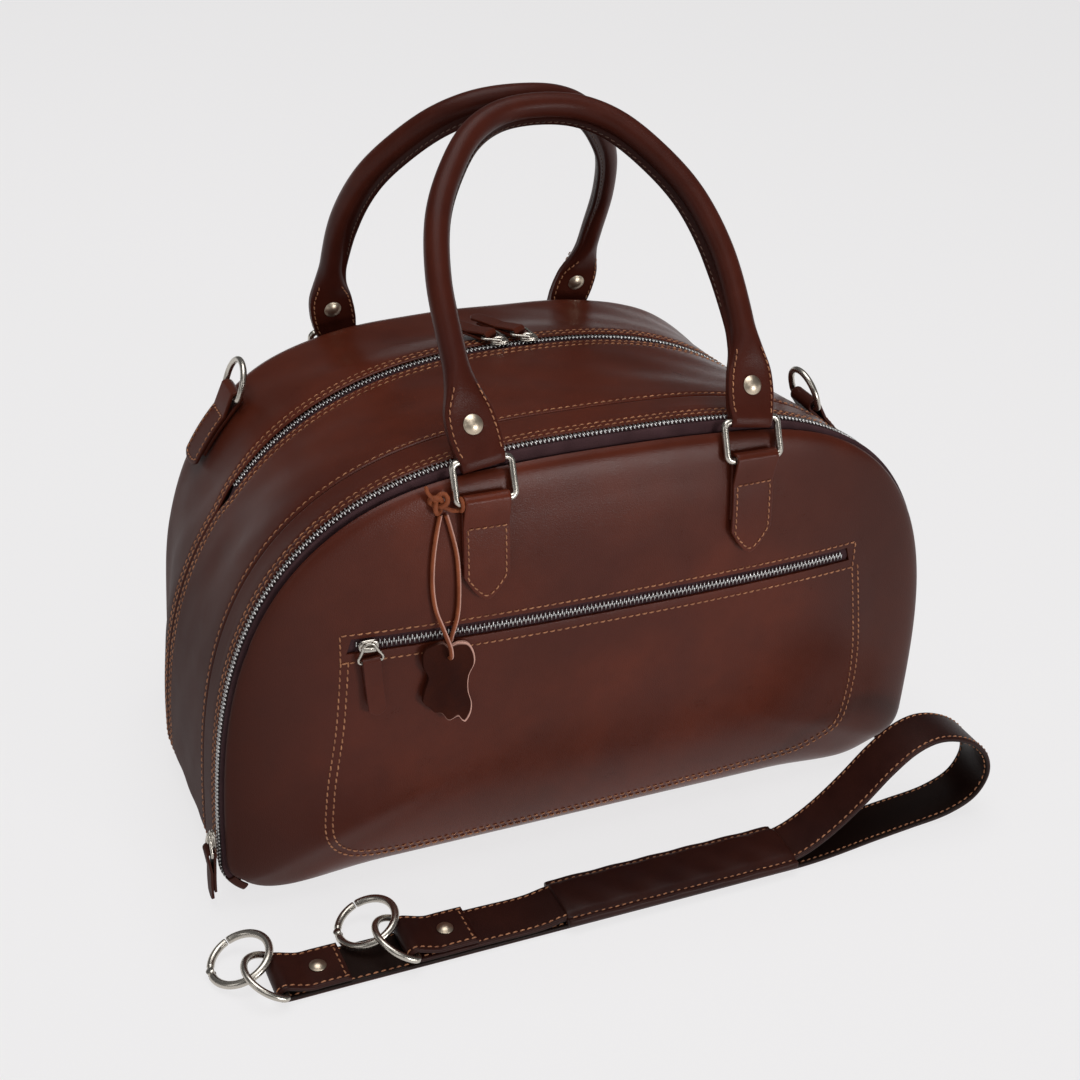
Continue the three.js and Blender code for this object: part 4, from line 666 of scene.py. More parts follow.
# Zips
# Closed chains of nickel teeth on dark woven tape: one round the front panel's edge, one over the top, one
# in the pocket's slit. The tapes are sewn in behind the leather's edges.
TOOTH_PITCH, CHAIN_Y = 1.3, -114.6
TOOTH = np.array([[-2.5, 0.0, 0.0], [-2.45, 0.46, 0.7], [-0.6, 0.46, 0.8], [0.1, 0.52, 0.8],
                  [0.5, 0.46, 0.62], [0.7, 0.0, 0.0]])
TAPE_DARK, TAPE_LIGHT = (0.034, 0.0145, 0.0165), (0.056, 0.026, 0.029)
tape, start, tape_shader = material("zip_tape")
place = start.node("TexCoord", out="Object")
weave = place.node("TexVoronoi", {"feature": "F1"}, {"Vector": place, "Scale": 1300.0})
tone = noise(place, 60.0, 4.0).clamped(0.3, 0.7).mixed(rgba(TAPE_DARK), rgba(TAPE_LIGHT))
feed(tape_shader, {"Base Color": tone, "Roughness": 0.82, "Specular IOR Level": 0.12,
                   "Normal": bump(weave, 0.5, 0.0004)})


def nickel(name, tone, roughness):
    """Polished nickel with a faint uneven tarnish and hairline scuffs."""
    made, start, shader = material(name)
    place = start.node("TexCoord", out="Object")
    cloud, scuff = noise(place, 90.0, 5.0), noise(place, 900.0, 2.0)
    feed(shader, {"Base Color": cloud.clamped(0.25, 0.75).mixed(rgba(tone, 0.8), rgba(tone)),
                  "Metallic": 1.0, "Roughness": cloud * 0.12 + scuff * 0.08 + roughness,
                  "Normal": bump(scuff, 0.04, 0.0002)})
    return made


bright = nickel("nickel", (0.56, 0.52, 0.46), 0.17)
dull = nickel("rivet_nickel", (0.62, 0.52, 0.4), 0.27)
teeth_metal = nickel("zip_teeth_metal", (0.62, 0.61, 0.6), 0.2)


def teeth(path, out):
    """A closed chain: teeth square to the path, turn and turn about from its two sides, each a rounded
    six-sided bar that runs from its tape past the middle."""
    joined = np.concatenate([path, out], 1)
    total = along(path, 0)[1]
    at = np.arange(0.8, total - 0.8, TOOTH_PITCH)
    centre = along(joined, at)[0]
    ahead = unit(along(path, at + 0.5)[0] - along(path, at - 0.5)[0])
    rise = unit(centre[:, 3:])
    hand = np.where(np.arange(len(at)) % 2, 1.0, -1.0)[:, None]
    side = unit(np.cross(rise, ahead)) * hand
    angle = (np.arange(6) + 0.5) * np.pi / 3
    line = centre[:, None, :3] + side[:, None] * TOOTH[:, :1]
    wide = ahead[:, None, None] * np.cos(angle)[:, None] * TOOTH[None, :, None, 1:2]
    high = rise[:, None, None] * np.sin(angle)[:, None] * TOOTH[None, :, None, 2:3]
    return copies(line[:, :, None] + wide + high)


def arch_out(y, turn):
    """The arch's outward normal as a vector."""
    _, _, nx, nz = arch(y, turn)
    return np.stack([nx, 0 * nx, nz], -1)


def tape_strip(section, turn, arch_y, sink=0.0):
    """A tape carried round the arch: its section is pairs of outward distance and depth. Sink lowers it by
    turn."""
    out, y = np.array(section).T[:, :, None]
    return grid(skin(y, turn[None] + 0 * y) + (out - sink)[..., None] * arch_out(arch_y, turn))


front_end = turn_at(FRONT_ARCH_Y, 14)
turn = np.linspace(-front_end, front_end, 401)
front_section = [(-1.6, -110.4), (-1.6, -111.6), (-1.5, -112.6), (-1.4, -114.6), (-1.2, -116.2),
                 (-0.8, -117.0), (-0.6, -117.8), (-0.9, -118.5), (-1.8, -119.0), (-3.6, -119.2),
                 (-6, -119.1), (-9, -118.9), (-11.5, -118.5), (-13.4, -118.0)]
hidden = ease(0.29, 0.42, turn)
piece("front_tape", tape_strip(front_section[::-1], turn, FRONT_ARCH_Y, -0.8 * hidden), tape, "bag",
      "zip_tape", "front_zip", wall=0.9)
end_section = [(-1.4, -109.2), (-0.2, -110.2), (0.3, -112), (0.4, -114), (0.4, -116), (0.3, -118),
               (-0.2, -119.4), (-1.4, -120.3), (-3, -120.6), (-5, -120.6)]
end_turns = np.linspace(front_end - 0.012, turn_at(FRONT_ARCH_Y, 8.5), 12)
tabs = [tape_strip(end_section[::-1], side * end_turns[::side], FRONT_ARCH_Y) for side in (-1, 1)]
piece("front_zip_end_leather", together(*tabs), brown, "bag", "leather", wall=1.6, bevel=0.4)
out = arch_out(FRONT_ARCH_Y, turn)
chain = skin(CHAIN_Y + 0 * turn, turn) + (0.1 - 1.1 * hidden)[:, None] * out
piece("front_teeth", teeth(chain, out), teeth_metal, "bag", "nickel")
turn = np.linspace(-main_end - 0.04, main_end + 0.04, 361)
main_section = [(-2.9, 2.6), (-2.9, 6), (-2.3, 7.8), (-1.5, 9.2), (-1.2, 12), (-1.5, 14.8), (-2.3, 16.2),
                (-2.9, 18), (-2.9, 21.4)]
sink = 1.8 * ease(main_end - 0.01, main_end + 0.02, np.abs(turn))
piece("main_tape", tape_strip(main_section, turn, MAIN_ZIP_Y, sink), tape, "bag", "zip_tape", "main_zip",
      wall=0.8)
turn = np.linspace(-main_end + 0.004, main_end - 0.004, 301)
out = arch_out(MAIN_ZIP_Y, turn)
piece("main_teeth", teeth(skin(MAIN_ZIP_Y + 0 * turn, turn) - 0.6 * out, out), teeth_metal, "bag", "nickel")
x = np.linspace(-POCKET_HALF - 5, POCKET_HALF + 5, 161)
rise = np.array([-9.5, -7, -4, -2.8, -1.4, 0, 1.4, 2.8, 4, 7, 9.5])[:, None]
sunk = np.array([-2.9, -2.8, -2.0, -1.6, -1.3, -1.2, -1.3, -1.6, -2.0, -2.8, -2.9])[:, None]
sunk = np.where(np.abs(x) > POCKET_HALF - 1, np.minimum(sunk, -2.8), sunk)
sheet = on_face(FRONT, x[None] + 0 * rise, POCKET_Z + rise + 0 * x, sunk)
piece("pocket_tape", grid(sheet), tape, "bag", "zip_tape", "pocket_zip", wall=0.8)
x = np.linspace(5 - POCKET_HALF, POCKET_HALF - 5, 300)
z = POCKET_Z + 0 * x
piece("pocket_teeth", teeth(on_face(FRONT, x, z, -0.6), face_out(FRONT, x, z)), teeth_metal, "bag",
      "nickel")

# Chapes
# Pointed tabs of leather, each folded round the lower bar of a handle's ring and sewn to the panel along
# its edges and across below the fold. The front panel has two and the back panel has two.
HANDLE_X, RING_WIRE, FOLD = 82, 2, 13
X_AXIS, Y_AXIS, Z_AXIS = np.eye(3)
CHAPE = dict(width=26.4, tip=15, power=1.6, wire=RING_WIRE, thick=2.0, clear=0.5, lift=1.2)


def folded_tab(place, across, width, length, tip, power, wire, thick, clear, lift, columns=15):
    """A tab folded round a bar: back leaf, half turn and front leaf as one sheet's middle face, with the
    bar's middle. place(u, v, h) is a point u along, v across and h above what the tab lies on; near the bar
    the tab is straight."""
    turning = wire + 1.4 * GAP + thick / 2
    low = clear + thick / 2
    bar_height = low + lift + turning
    origin = place(np.array(length), np.array(0.0), np.array(0.0))
    out = place(np.array(length), np.array(0.0), np.array(1.0)) - origin
    ahead = unit(np.cross(out, across))
    ahead = ahead * np.sign(ahead @ (origin - place(np.array(length - 1.0), np.array(0.0), np.array(0.0))))

    def straight(u, v, h):
        return origin + ahead * (u - length)[..., None] + across * v[..., None] + out * h[..., None]

    loop_from = length - FOLD
    v = np.linspace(-width / 2, width / 2, columns)
    angle = np.radians(np.linspace(-90, 90, 15))
    rear = np.linspace(length * 0.12 + tip, loop_from, 8)
    share = np.linspace(0, 1, 24)[:, None]
    u = np.concatenate([rear[:, None] + 0 * v, (length + turning * np.cos(angle))[:, None] + 0 * v,
                        loop_from + (tip * np.abs(2 * v / width) ** power - loop_from) * share])
    h = np.concatenate([0 * rear[:, None] + low + 0 * v,
                        (bar_height + turning * np.sin(angle))[:, None] + 0 * v,
                        low + thick + GAP + 0 * share + 0 * v])
    wide = v[None] + 0 * u
    weight = ease(loop_from, length - 3, u)[..., None]
    spot = np.array([float(length)]), np.array([0.0]), np.array([bar_height])
    return place(u, wide, h) * (1 - weight) + straight(u, wide, h) * weight, straight(*spot)[0]


def tab_rows(place, width, length, tip, power, thick, clear, edge=2.4, **_):
    """Stitches round a tab's front leaf: across below the fold, down both edges and round the point. It
    takes the sizes of a folded tab."""
    v = np.linspace(-1, 1, 81)
    half = width / 2 - edge
    point = edge * 1.25 + tip * np.abs(v * half * 2 / width) ** power
    top = length - FOLD - 1.0
    u = np.concatenate([np.linspace(top, point[0], 40)[:-1], point, np.linspace(point[-1], top, 40)[1:],
                        np.full(40, top)])
    w = np.concatenate([np.full(39, -half), v * half, np.full(39, half), np.linspace(half, -half, 40)])
    level = clear + 2 * thick + GAP + 0.1
    path = place(u, w, level + 0 * u)
    return stitches(path, unit(place(u, w, level + 1 + 0 * u) - path), radius=0.45, **FINE_STITCH)


bars, rows = {}, []
for side, panel, tip_z, bar_z in (("front", FRONT, 191, 247), ("rear", REAR, 160, 220)):
    for hand, x in (("left", -HANDLE_X), ("right", HANDLE_X)):
        def place(u, v, h):
            return on_face(panel, x + v, tip_z + u, h)

        sheet, bars[side] = folded_tab(place, X_AXIS, length=bar_z - tip_z, **CHAPE)
        piece(f"{side}_chape_{hand}_leather", grid(sheet), brown, "bag", "leather", f"{side}_chape_{hand}",
              wall=CHAPE["thick"], bevel=0.4, inset=0)
        rows.append(tab_rows(place, length=bar_z - tip_z, **CHAPE))
piece("chape_thread", together(*rows), thread, "bag", "leather")

# Handles
# Leather rolled round a cord and sewn shut along its inner side. Both ends are left flat, folded round a
# rectangular nickel ring and held by a domed rivet. The leather is the body's brown painted darker as
# shade, with more painted shade on the inner side along the seam, and the seam's thread is darker for
# the same painted shade.
RING = dict(width=34, height=22, corner=3.5)
RIVET_ALONG = 19.0
LEANS = dict(front=(np.radians(25.5), 55, 1.049, 0.977, 1), rear=(np.radians(3.5), 76, 0.975, 1, -1))
HANDLE_ARCH = np.array([[HANDLE_X, 22], [88, 50], [89.5, 85], [88, 116], [79.5, 147], [64.5, 171],
                        [46, 190], [25.5, 200], [0, 203]])
HANDLE_SECTIONS = np.array([[-4.6, 12.3, 1.4, 3, 0, 0], [-3.4, 13, 3.6, 4, 0, 0], [0, 13.2, 4.6, 5, 0, 0],
                            [7, 14.6, 3.4, 5, 0, 0], [15, 15, 3, 5, 0, 0], [27, 14.2, 3.2, 4, 0, 0],
                            [38, 10, 5.6, 2.6, 0.8, 8], [51, 7.4, 7, 2, 2.2, 26], [92, 7, 7, 2, 5.2, 37]])
FLANGE_HALF = 1.85
# Painted shade: a darker copy of the body's brown leather, whose other colour darkens the inner side along
# the seam.
shaded_handle_leather = leather("shaded_handle_leather", (0.047, 0.0098, 0.0058), (0.08, 0.0165, 0.009), patch=9,
                         roughness=0.34, coat=0.0, shine=0.1, other=(0.013, 0.0035, 0.0025))
# Painted shade: the handles' seam thread is a darker copy of the tan thread.
shaded_seam_thread = waxed_thread("shaded_brown_thread", (0.035, 0.014, 0.008), (0.08, 0.032, 0.017))


def tube(path, radius, plane, sides=14, closed=False):
    """A round tube along a path: circles spanned by the plane's normal and the direction square to it and
    the path."""
    step = np.roll(path, -1, 0) - np.roll(path, 1, 0) if closed else np.gradient(path, axis=0)
    side = unit(np.cross(step, plane))
    rise = unit(np.cross(side, step))
    angle = np.arange(sides) * 2 * np.pi / sides
    radius = np.broadcast_to(np.asarray(radius, float), len(path))[:, None, None]
    circle = side[:, None] * np.cos(angle)[:, None] + rise[:, None] * np.sin(angle)[:, None]
    return loft(path[:, None] + radius * circle, closed)


def loft(rings, closed=False):
    """A closed body through rings (rings, sides, 3), joined end to end or capped at each end ring's
    middle."""
    if not closed:
        ends = rings[[0, -1]].mean(1, keepdims=True).repeat(rings.shape[1], 1)
        rings = np.concatenate([ends[:1], rings, ends[1:]])
    return outward(grid(rings, rows_closed=closed, columns_closed=True))


def bowed(value, power):
    """A superellipse's coordinate for a sine or cosine: sign(v) |v|^(2/p)."""
    return np.sign(value) * np.abs(value) ** (2 / power)


def rounded_box(width, height, corner, steps=7):
    """A rectangle's outline with round corners, its lower side on zero, as pairs."""
    angle = np.linspace(0, np.pi / 2, steps)
    quarter = np.stack([np.cos(angle), np.sin(angle)], -1) * corner
    turned = [quarter @ np.array([[np.cos(a), np.sin(a)], [-np.sin(a), np.cos(a)]])
              for a in np.arange(4) * np.pi / 2]
    w, h = width / 2 - corner, height / 2 - corner
    middles = np.array([[w, h], [-w, h], [-w, -h], [w, -h]])
    return np.concatenate([t + m for t, m in zip(turned, middles)]) + [0, height / 2]


def lathe(profile, centre, axis, sides=28):
    """A profile of radius and height turned about an axis through a centre."""
    axis = unit(np.asarray(axis, float))
    first = unit(np.cross(axis, [0.31, 0.52, 0.8]))
    angle = np.arange(sides) * 2 * np.pi / sides
    circle = first * np.cos(angle)[:, None] + np.cross(axis, first) * np.sin(angle)[:, None]
    radius, height = np.array(profile, float).T[:, :, None, None]
    return outward(grid(centre + radius * circle + height * axis, columns_closed=True))


def rivet_cap(radius, dome_height, start):
    """Half a rivet's outline: a shallow domed cap with a rolled rim, from its middle to its foot."""
    angle = np.linspace(0, 0.8, 9)
    height = start + 0.5 + dome_height * (np.cos(angle) - np.cos(0.8)) / (1 - np.cos(0.8))
    crown = np.stack([radius * 0.93 * np.sin(angle) / np.sin(0.8), height], -1)
    return [*crown.tolist(), [radius, start + 0.35], [radius, start + 0.1], [radius * 0.9, start - 0.3],
            [0, start - 0.4]]


def handle_path(bend, stretch, sideways):
    """The handle's middle line: the arch's table, mirrored and stretched, bent to the bag by the height's
    share to 1.6."""
    x, h = HANDLE_ARCH.T
    rise = h - RING["height"]
    left = np.stack([-x * np.where(rise > 0, sideways, 1), bend * (rise / rise.max()) ** 1.6,
                     RING["height"] + stretch * rise], -1)
    return smooth_path(np.concatenate([left, left[-2::-1] * [-1, 1, 1]]), 1600)


def handle_frames(path, at):
    """Middle, thickness and width directions of the handle at distances along it, run on straight past its
    ends, and its section there: half width, half thickness, power and seam, read from the table and
    smoothed past the flat end. The section turns on the line as the table says."""
    total = along(path, 0)[1]
    near = np.minimum(at, total - at)
    fine = np.arange(-12, 150, 0.5)
    rough = np.stack([np.interp(fine, HANDLE_SECTIONS[:, 0], column)
                      for column in HANDLE_SECTIONS[:, 1:].T])
    soft = np.stack([np.convolve(np.pad(row, 10, "edge"), np.ones(21) / 21, "valid") for row in rough])
    section = rough + (soft - rough) * ease(12, 24, fine)
    section = np.stack([np.interp(near, fine, row) for row in section])[:, :, None]
    inside = np.clip(at, 0, total)
    tangent = unit(along(np.concatenate([path, unit(np.gradient(path, axis=0))], 1), inside)[0][:, 3:])
    middle = along(path, inside)[0] + tangent * (at - inside)[:, None]
    thick = unit(np.array([0.0, 1, 0]) - tangent * tangent[:, 1:2])
    wide, turned = np.cross(tangent, thick), np.radians(section[4])
    cos, sin = np.cos(turned), np.sin(turned)
    return middle, thick * cos + wide * sin, wide * cos - thick * sin, section[:4]


def handle_shape(path):
    """The handle's body: superellipse sections, flat at the ends and round between, with the seam's two
    edges standing out as a flange on the inside."""
    total = along(path, 0)[1]
    ends = np.concatenate([[-4.6, -4.4, -4.0, -3.4, -2.6, -1.6], np.linspace(0, 100, 67)])
    at = np.concatenate([ends, np.linspace(100, total - 100, 130)[1:-1], (total - ends)[::-1]])
    middle, thickness, wide, (width, thick, power, ridge) = handle_frames(path, at)
    off = np.array([0.27, 0.24, 0.2, 0.15, 0.09, 0.03])
    stand = np.array([0.12, 0.38, 0.65, 0.86, 0.97, 1.0])
    level = np.array([1.0, 0.98, 0.95, 0.8, 0.5, 0.15]) * FLANGE_HALF
    angle = np.concatenate([np.linspace(0.34 - np.pi, np.pi - 0.34, 45), np.pi - off, np.pi + off[::-1]])
    stand = np.concatenate([np.zeros(45), stand, stand[::-1]])
    level = np.concatenate([np.zeros(45), level, -level[::-1]])
    flatness = np.clip((power - 2.2) / 2.5, 0, 1)
    split = 0.55 * flatness * np.exp(-(np.sin(angle) / 0.22) ** 2)
    across = width * bowed(np.cos(angle), power) - ridge * stand - np.sign(np.cos(angle)) * split
    grown = np.clip(ridge / HANDLE_SECTIONS[-1, 4], 0, 1)
    share = np.where(stand > 0, grown, 0)
    up = thick * bowed(np.sin(angle), power) * (1 - share) + level * share
    # Painted shade, strongest on the inner side at the seam's flange, read by the handle leather as its
    # tone.
    dark = 0.85 * grown * np.exp(-(np.pi - angle % (2 * np.pi)) ** 2)
    body = loft(middle[:, None] + wide[:, None] * across[..., None] + thickness[:, None] * up[..., None])
    return (*body, np.concatenate([dark[:1], dark, dark[-1:]]).ravel())


def to_bag(side, points):
    """Points of a handle's own frame, which has its rings' lower bar on X, in the bag's frame."""
    lean, facing = LEANS[side][0], LEANS[side][4]
    x, y, z = np.moveaxis(points, -1, 0)
    y, z = y * np.cos(lean) + z * np.sin(lean), z * np.cos(lean) - y * np.sin(lean)
    return np.stack([x * facing, y * facing, z], -1) + bars[side] * [0, 1, 1]


def turned_to_bag(side, vectors):
    """Directions of a handle's own frame in the bag's frame."""
    return to_bag(side, vectors) - to_bag(side, 0 * vectors)


for side in ("front", "rear"):
    body = f"{side}_grip"
    path = handle_path(*LEANS[side][1:4])
    points, *shape = handle_shape(path)
    piece(f"{side}_shaded_handle_leather", (to_bag(side, points), *shape), shaded_handle_leather, body, "leather",
          f"{side}_handle")
    total = along(path, 0)[1]
    rows = []
    for start, end in ((3.0, 40.0), (total - 40.0, total - 3.0)):
        middle, thickness, wide, section = handle_frames(path, np.linspace(start, end, 60))
        for edge in (-1, 1):
            for face in (-1, 1):
                line = middle + wide * edge * (section[0] - 2.6) + thickness * face * (section[1] - 0.12)
                out = turned_to_bag(side, thickness * face)
                rows.append(stitches(to_bag(side, line), out, radius=0.42, **FINE_STITCH))
    piece(f"{side}_handle_thread", together(*rows), thread, body, "leather")
    rows = []
    middle, thickness, wide, section = handle_frames(path, np.linspace(66, total - 66, 500))
    for face in (-1, 1):
        line = middle - wide * (section[0] + 0.56 * section[3]) + thickness * face * FLANGE_HALF
        out = turned_to_bag(side, thickness * face)
        rows.append(stitches(to_bag(side, line), out, radius=0.4, **FINE_STITCH))
    piece(f"{side}_shaded_seam_thread", together(*rows), shaded_seam_thread, body, "leather")
    x, z = rounded_box(**RING).T
    hands = ("left", "right") if LEANS[side][4] > 0 else ("right", "left")
    for hand, ring_x, at in zip(hands, (-HANDLE_X, HANDLE_X), (RIVET_ALONG, total - RIVET_ALONG)):
        points, quads = tube(np.stack([x + ring_x, 0 * x, z], -1), RING_WIRE, Y_AXIS, 16, True)
        piece(f"{side}_ring_{hand}_nickel", (to_bag(side, points), quads), bright, body, "nickel",
              f"{side}_ring_{hand}")
        middle, thickness, _, _ = handle_frames(path, np.array([at]))
        axis = turned_to_bag(side, thickness)[0]
        caps = [lathe(rivet_cap(5.6, 2.0, 3.15), to_bag(side, middle)[0], axis * face) for face in (-1, 1)]
        piece(f"{side}_rivet_{hand}_nickel", together(*caps), dull, body, "nickel", f"{side}_rivet_{hand}")

# End tabs
# Short leather tabs sewn on the bag's shoulders, each folded round the straight side of a nickel D-ring
# that takes one of the strap's clasps. The left tab sits behind the top zip, the right one in front of it.
END_TAB = dict(width=22, tip=4, power=3, wire=2, thick=2.0, clear=1, lift=1.2)
END_LENGTH, END_TURN, END_LEAN, END_RING = 50, 0.39, np.radians(18), (30, 21)


def d_ring(centre, across, out, width, height, corner=2.5):
    """A D-ring's middle line: a straight bar, and half a circle bowed out from it on short legs."""
    half = width / 2
    angle = np.linspace(0, np.pi, 41)
    bow = np.stack([half * np.cos(angle), height - half * (1 - np.sin(angle))], -1)
    legs = np.linspace(corner, max(corner, height - half), 6)[:-1]
    bend = np.radians(np.linspace(-90, 0, 6))
    foot = np.stack([half - corner + corner * np.cos(bend), corner + corner * np.sin(bend)], -1)
    right = np.concatenate([foot, np.stack([half + 0 * legs, legs], -1)[1:]])
    bar = np.stack([np.linspace(corner - half, half - corner, 12)[1:-1], np.zeros(10)], -1)
    line = np.concatenate([right, bow[bow[:, 1] > corner], (right * [-1, 1])[::-1], bar])
    return centre + across * line[:, :1] + out * line[:, 1:]


rows = []
for hand, y, side in (("left", 80, -1), ("right", -48, 1)):
    run = float(np.interp(y, DEPTHS, ARCH_RUN))

    def place(u, v, h):
        return skin(y + v, side * (END_TURN + (END_LENGTH - u) / run), h)

    sheet, bar = folded_tab(place, Y_AXIS, length=END_LENGTH, **END_TAB)
    piece(f"end_tab_{hand}_leather", grid(sheet), brown, "bag", "leather", f"end_tab_{hand}",
          wall=END_TAB["thick"], bevel=0.4, inset=0)
    rows.append(tab_rows(place, length=END_LENGTH, **END_TAB))
    out = np.array([-side * np.sin(END_LEAN), 0, np.cos(END_LEAN)])
    ring = tube(d_ring(bar, Y_AXIS, out, *END_RING), END_TAB["wire"], np.cross(out, Y_AXIS), 16, True)
    piece(f"end_ring_{hand}_nickel", ring, bright, f"ring_{hand}", "nickel", f"end_ring_{hand}")
piece("end_tab_thread", together(*rows), thread, "bag", "leather")

# Sliders and pulls
# Cast nickel zip sliders, each with a bridge and a bent wire bail. A narrow strip of leather is folded
# through the bail as a pull, and lies on the bag.
PULL = dict(width=10, tip=3, power=2, wire=0.9, thick=1.5, clear=GAP, lift=0.4)
PULL_LENGTH, BAIL_REACH, BAIL_WIRE, SLIDER_TOP = 34, 8.6, 0.9, 3.0
SLIDER_RIMS = [(0.5, 0.7), (0.6, 0.25), (0.9, 0.0), (1.35, 0.0), (1.5, 0.5), (1.9, 0.5), (2.1, 0.0),
               (2.6, 0.0), (2.9, 0.25), (3.0, 0.8)]
BAIL = np.array([[-2, -2.4], [2.5, -4.6], [6.4, -6.7], [8.3, -6.3], [8.6, -4], [8.6, 0], [8.6, 4],
                 [8.3, 6.3], [6.4, 6.7], [2.5, 4.6], [-2, 2.4], [-2.6, 0], [-2, -2.4]])


def slider_shape():
    """A slider in its own frame, along, across and out: a shield-shaped plate with rounded rims and a low
    bridge."""
    angle = np.arange(40) * 2 * np.pi / 40
    level, drawn = np.array(SLIDER_RIMS).T[:, :, None]
    shrink = 1 - drawn / 4.2
    a = 5.5 * bowed(np.cos(angle), 3.2) * shrink
    b = (3.6 + 0.6 * np.cos(angle)) * bowed(np.sin(angle), 3.2) * shrink
    t = np.linspace(0, np.pi, 17)
    bridge = np.stack([-0.3 + 3.7 * np.cos(t), 0 * t, 2.7 + 1.9 * np.sin(t)], -1)
    return together(loft(np.stack([a, b, level + 0 * a], -1)), tube(bridge, 0.85, Y_AXIS, 10))


def add_slider(name, at, ahead, out, pull_turn, pull_drop):
    """Puts a slider on a zip at a point, with its bail and leather pull swung to an angle in the zip's
    face."""
    ahead = unit(ahead - out * (ahead @ out))
    across = np.cross(out, ahead)
    basis = np.stack([ahead, across, out])
    cos, sin = np.cos(pull_turn), np.sin(pull_turn)
    spin = np.array([[cos, sin, 0], [-sin, cos, 0], [0, 0, 1]])
    level = SLIDER_TOP + 0.6
    line = smooth_path(np.concatenate([BAIL, 0 * BAIL[:, :1] + level], 1), 60)[:-1]
    shape = together(slider_shape(), tube(line @ spin, BAIL_WIRE, Z_AXIS, 10, True))
    piece(f"{name}_slider_nickel", (shape[0] @ basis + at, shape[1]), bright, "bag", "nickel",
          f"{name}_slider")
    low = level - (2 * GAP + PULL["thick"] + PULL["lift"] + BAIL_WIRE)
    drop = np.tan(pull_drop)

    def place(u, v, h):
        away = PULL_LENGTH - u
        curl = 0.9 * np.sin(np.clip(away / PULL_LENGTH, 0, 1) * 2.6)
        local = np.stack(np.broadcast_arrays(BAIL_REACH + away, v, low + h - away * drop + curl), -1)
        return local @ spin @ basis + at

    sheet, _ = folded_tab(place, Y_AXIS @ spin @ basis, length=PULL_LENGTH, **PULL)
    piece(f"{name}_pull_leather", grid(sheet), brown, "bag", "leather", f"{name}_pull", wall=PULL["thick"],
          bevel=0.3, inset=0)


spot = np.array(-148.0), np.array(POCKET_Z)
add_slider("pocket", on_face(FRONT, *spot), X_AXIS, face_out(FRONT, *spot), -np.pi / 2 + 0.1, -0.03)
turn = -turn_at(FRONT_ARCH_Y, 47)
ahead = skin(FRONT_ARCH_Y, turn - 0.01) - skin(FRONT_ARCH_Y, turn + 0.01)
add_slider("front", skin(CHAIN_Y, turn, 1.8), ahead, arch_out(FRONT_ARCH_Y, turn), 0.0, 0.0)
for name, x in (("main_left", -15), ("main_right", 4)):
    turn = x / float(np.interp(MAIN_ZIP_Y, DEPTHS, ARCH_RUN))
    ahead = skin(MAIN_ZIP_Y, turn + 0.01) - skin(MAIN_ZIP_Y, turn - 0.01)
    add_slider(name, skin(MAIN_ZIP_Y, turn, GAP), ahead, arch_out(MAIN_ZIP_Y, turn), np.radians(122), -0.02)

# Charm
# A blank piece of hide on a leather lace, which is knotted round the front left ring. The lace runs down,
# through the hide's hole and back up to the knot.
LACE_ROUTE = np.array([[-107, 242, 3.4], [-109, 234, 2.4], [-111.8, 218, 2.2], [-112.4, 202, 2.2],
                       [-110.6, 188, 2.6], [-107, 176.4, 6.4], [-104.4, 167.5, 9.6], [-103.7, 162, 9.2],
                       [-103.5, 159.4, 5.6], [-103, 162, 2.1], [-101.4, 170, 1.9], [-98.4, 182, 2.1],
                       [-97.5, 196, 2.2], [-98.4, 218, 2.2], [-101.6, 234, 2.4], [-103.8, 242, 3.4]])
LACE_RADIUS, KNOT_AT, KNOT_SHIFT = 1.25, (-105.6, 246, 4.4), (-2.4, -0.6, 3)
HIDE_X, HIDE_TOP, HIDE_LENGTH, HIDE_HEIGHT, HIDE_HOLE = -103.5, 168.0, 52, 4.4, 5.6
HIDE_OUTLINE = np.array([[-14, 3.7], [-9.2, 5.4], [-4.2, 6.8], [-0.6, 3.9], [4.8, 5.6], [10.4, 4.2],
                         [14, -1.1], [15.2, -9.3], [12, -17.5], [11.8, -27.1], [14.2, -36.7], [13.2, -43.6],
                         [9.8, -48], [5.9, -43], [0.3, -44.4], [-3.6, -39.5], [-7.3, -38.6], [-10.4, -35.4],
                         [-14.8, -29.9], [-13.7, -22.5], [-11.8, -14.8], [-15.1, -6.6], [-15.2, 0.9]])
CUT_EDGE = (0.55, 0.31, 0.25)
lace_leather = leather("lace_leather", (0.2, 0.052, 0.02), (0.36, 0.105, 0.042), patch=60, roughness=0.5,
                       coat=0.0, other=CUT_EDGE)
hide_leather = leather("hide_leather", (0.03, 0.006, 0.003), (0.055, 0.0115, 0.005), patch=40,
                       roughness=0.65, coat=0.0, shine=0.06, other=CUT_EDGE)
lace_path = smooth_path(on_face(FRONT, *LACE_ROUTE.T), 160)
cut = ease(0.0, 0.45, np.sin(np.arange(16) * 2 * np.pi / 16))
lace_shape = tube(lace_path, LACE_RADIUS, X_AXIS, 16)
lace = piece("charm_lace", (*lace_shape, np.tile(cut, len(lace_path) + 2)), lace_leather, "bag",
             "strap_leather", "charm_thong")
t = np.linspace(0, 2 * np.pi, 121)[:-1]
trefoil = np.stack([np.sin(t) + 2 * np.sin(2 * t), -np.sin(3 * t), np.cos(t) - 2 * np.cos(2 * t)], -1)
trefoil = trefoil * [1.7, 1.6, 2.0]
knot_at = on_face(FRONT, *KNOT_AT) + KNOT_SHIFT
knot = tube(trefoil + knot_at, 1.4, np.array([0.2, 1.0, 0.1]), 12, True)
tail = np.array([[-1, 0, 1], [-4, -1, 4], [-7, -1.5, 8], [-8, -1.5, 11.5]]) + knot_at
angle = np.radians(np.linspace(-90, -430, 18))
bar = bars["front"]
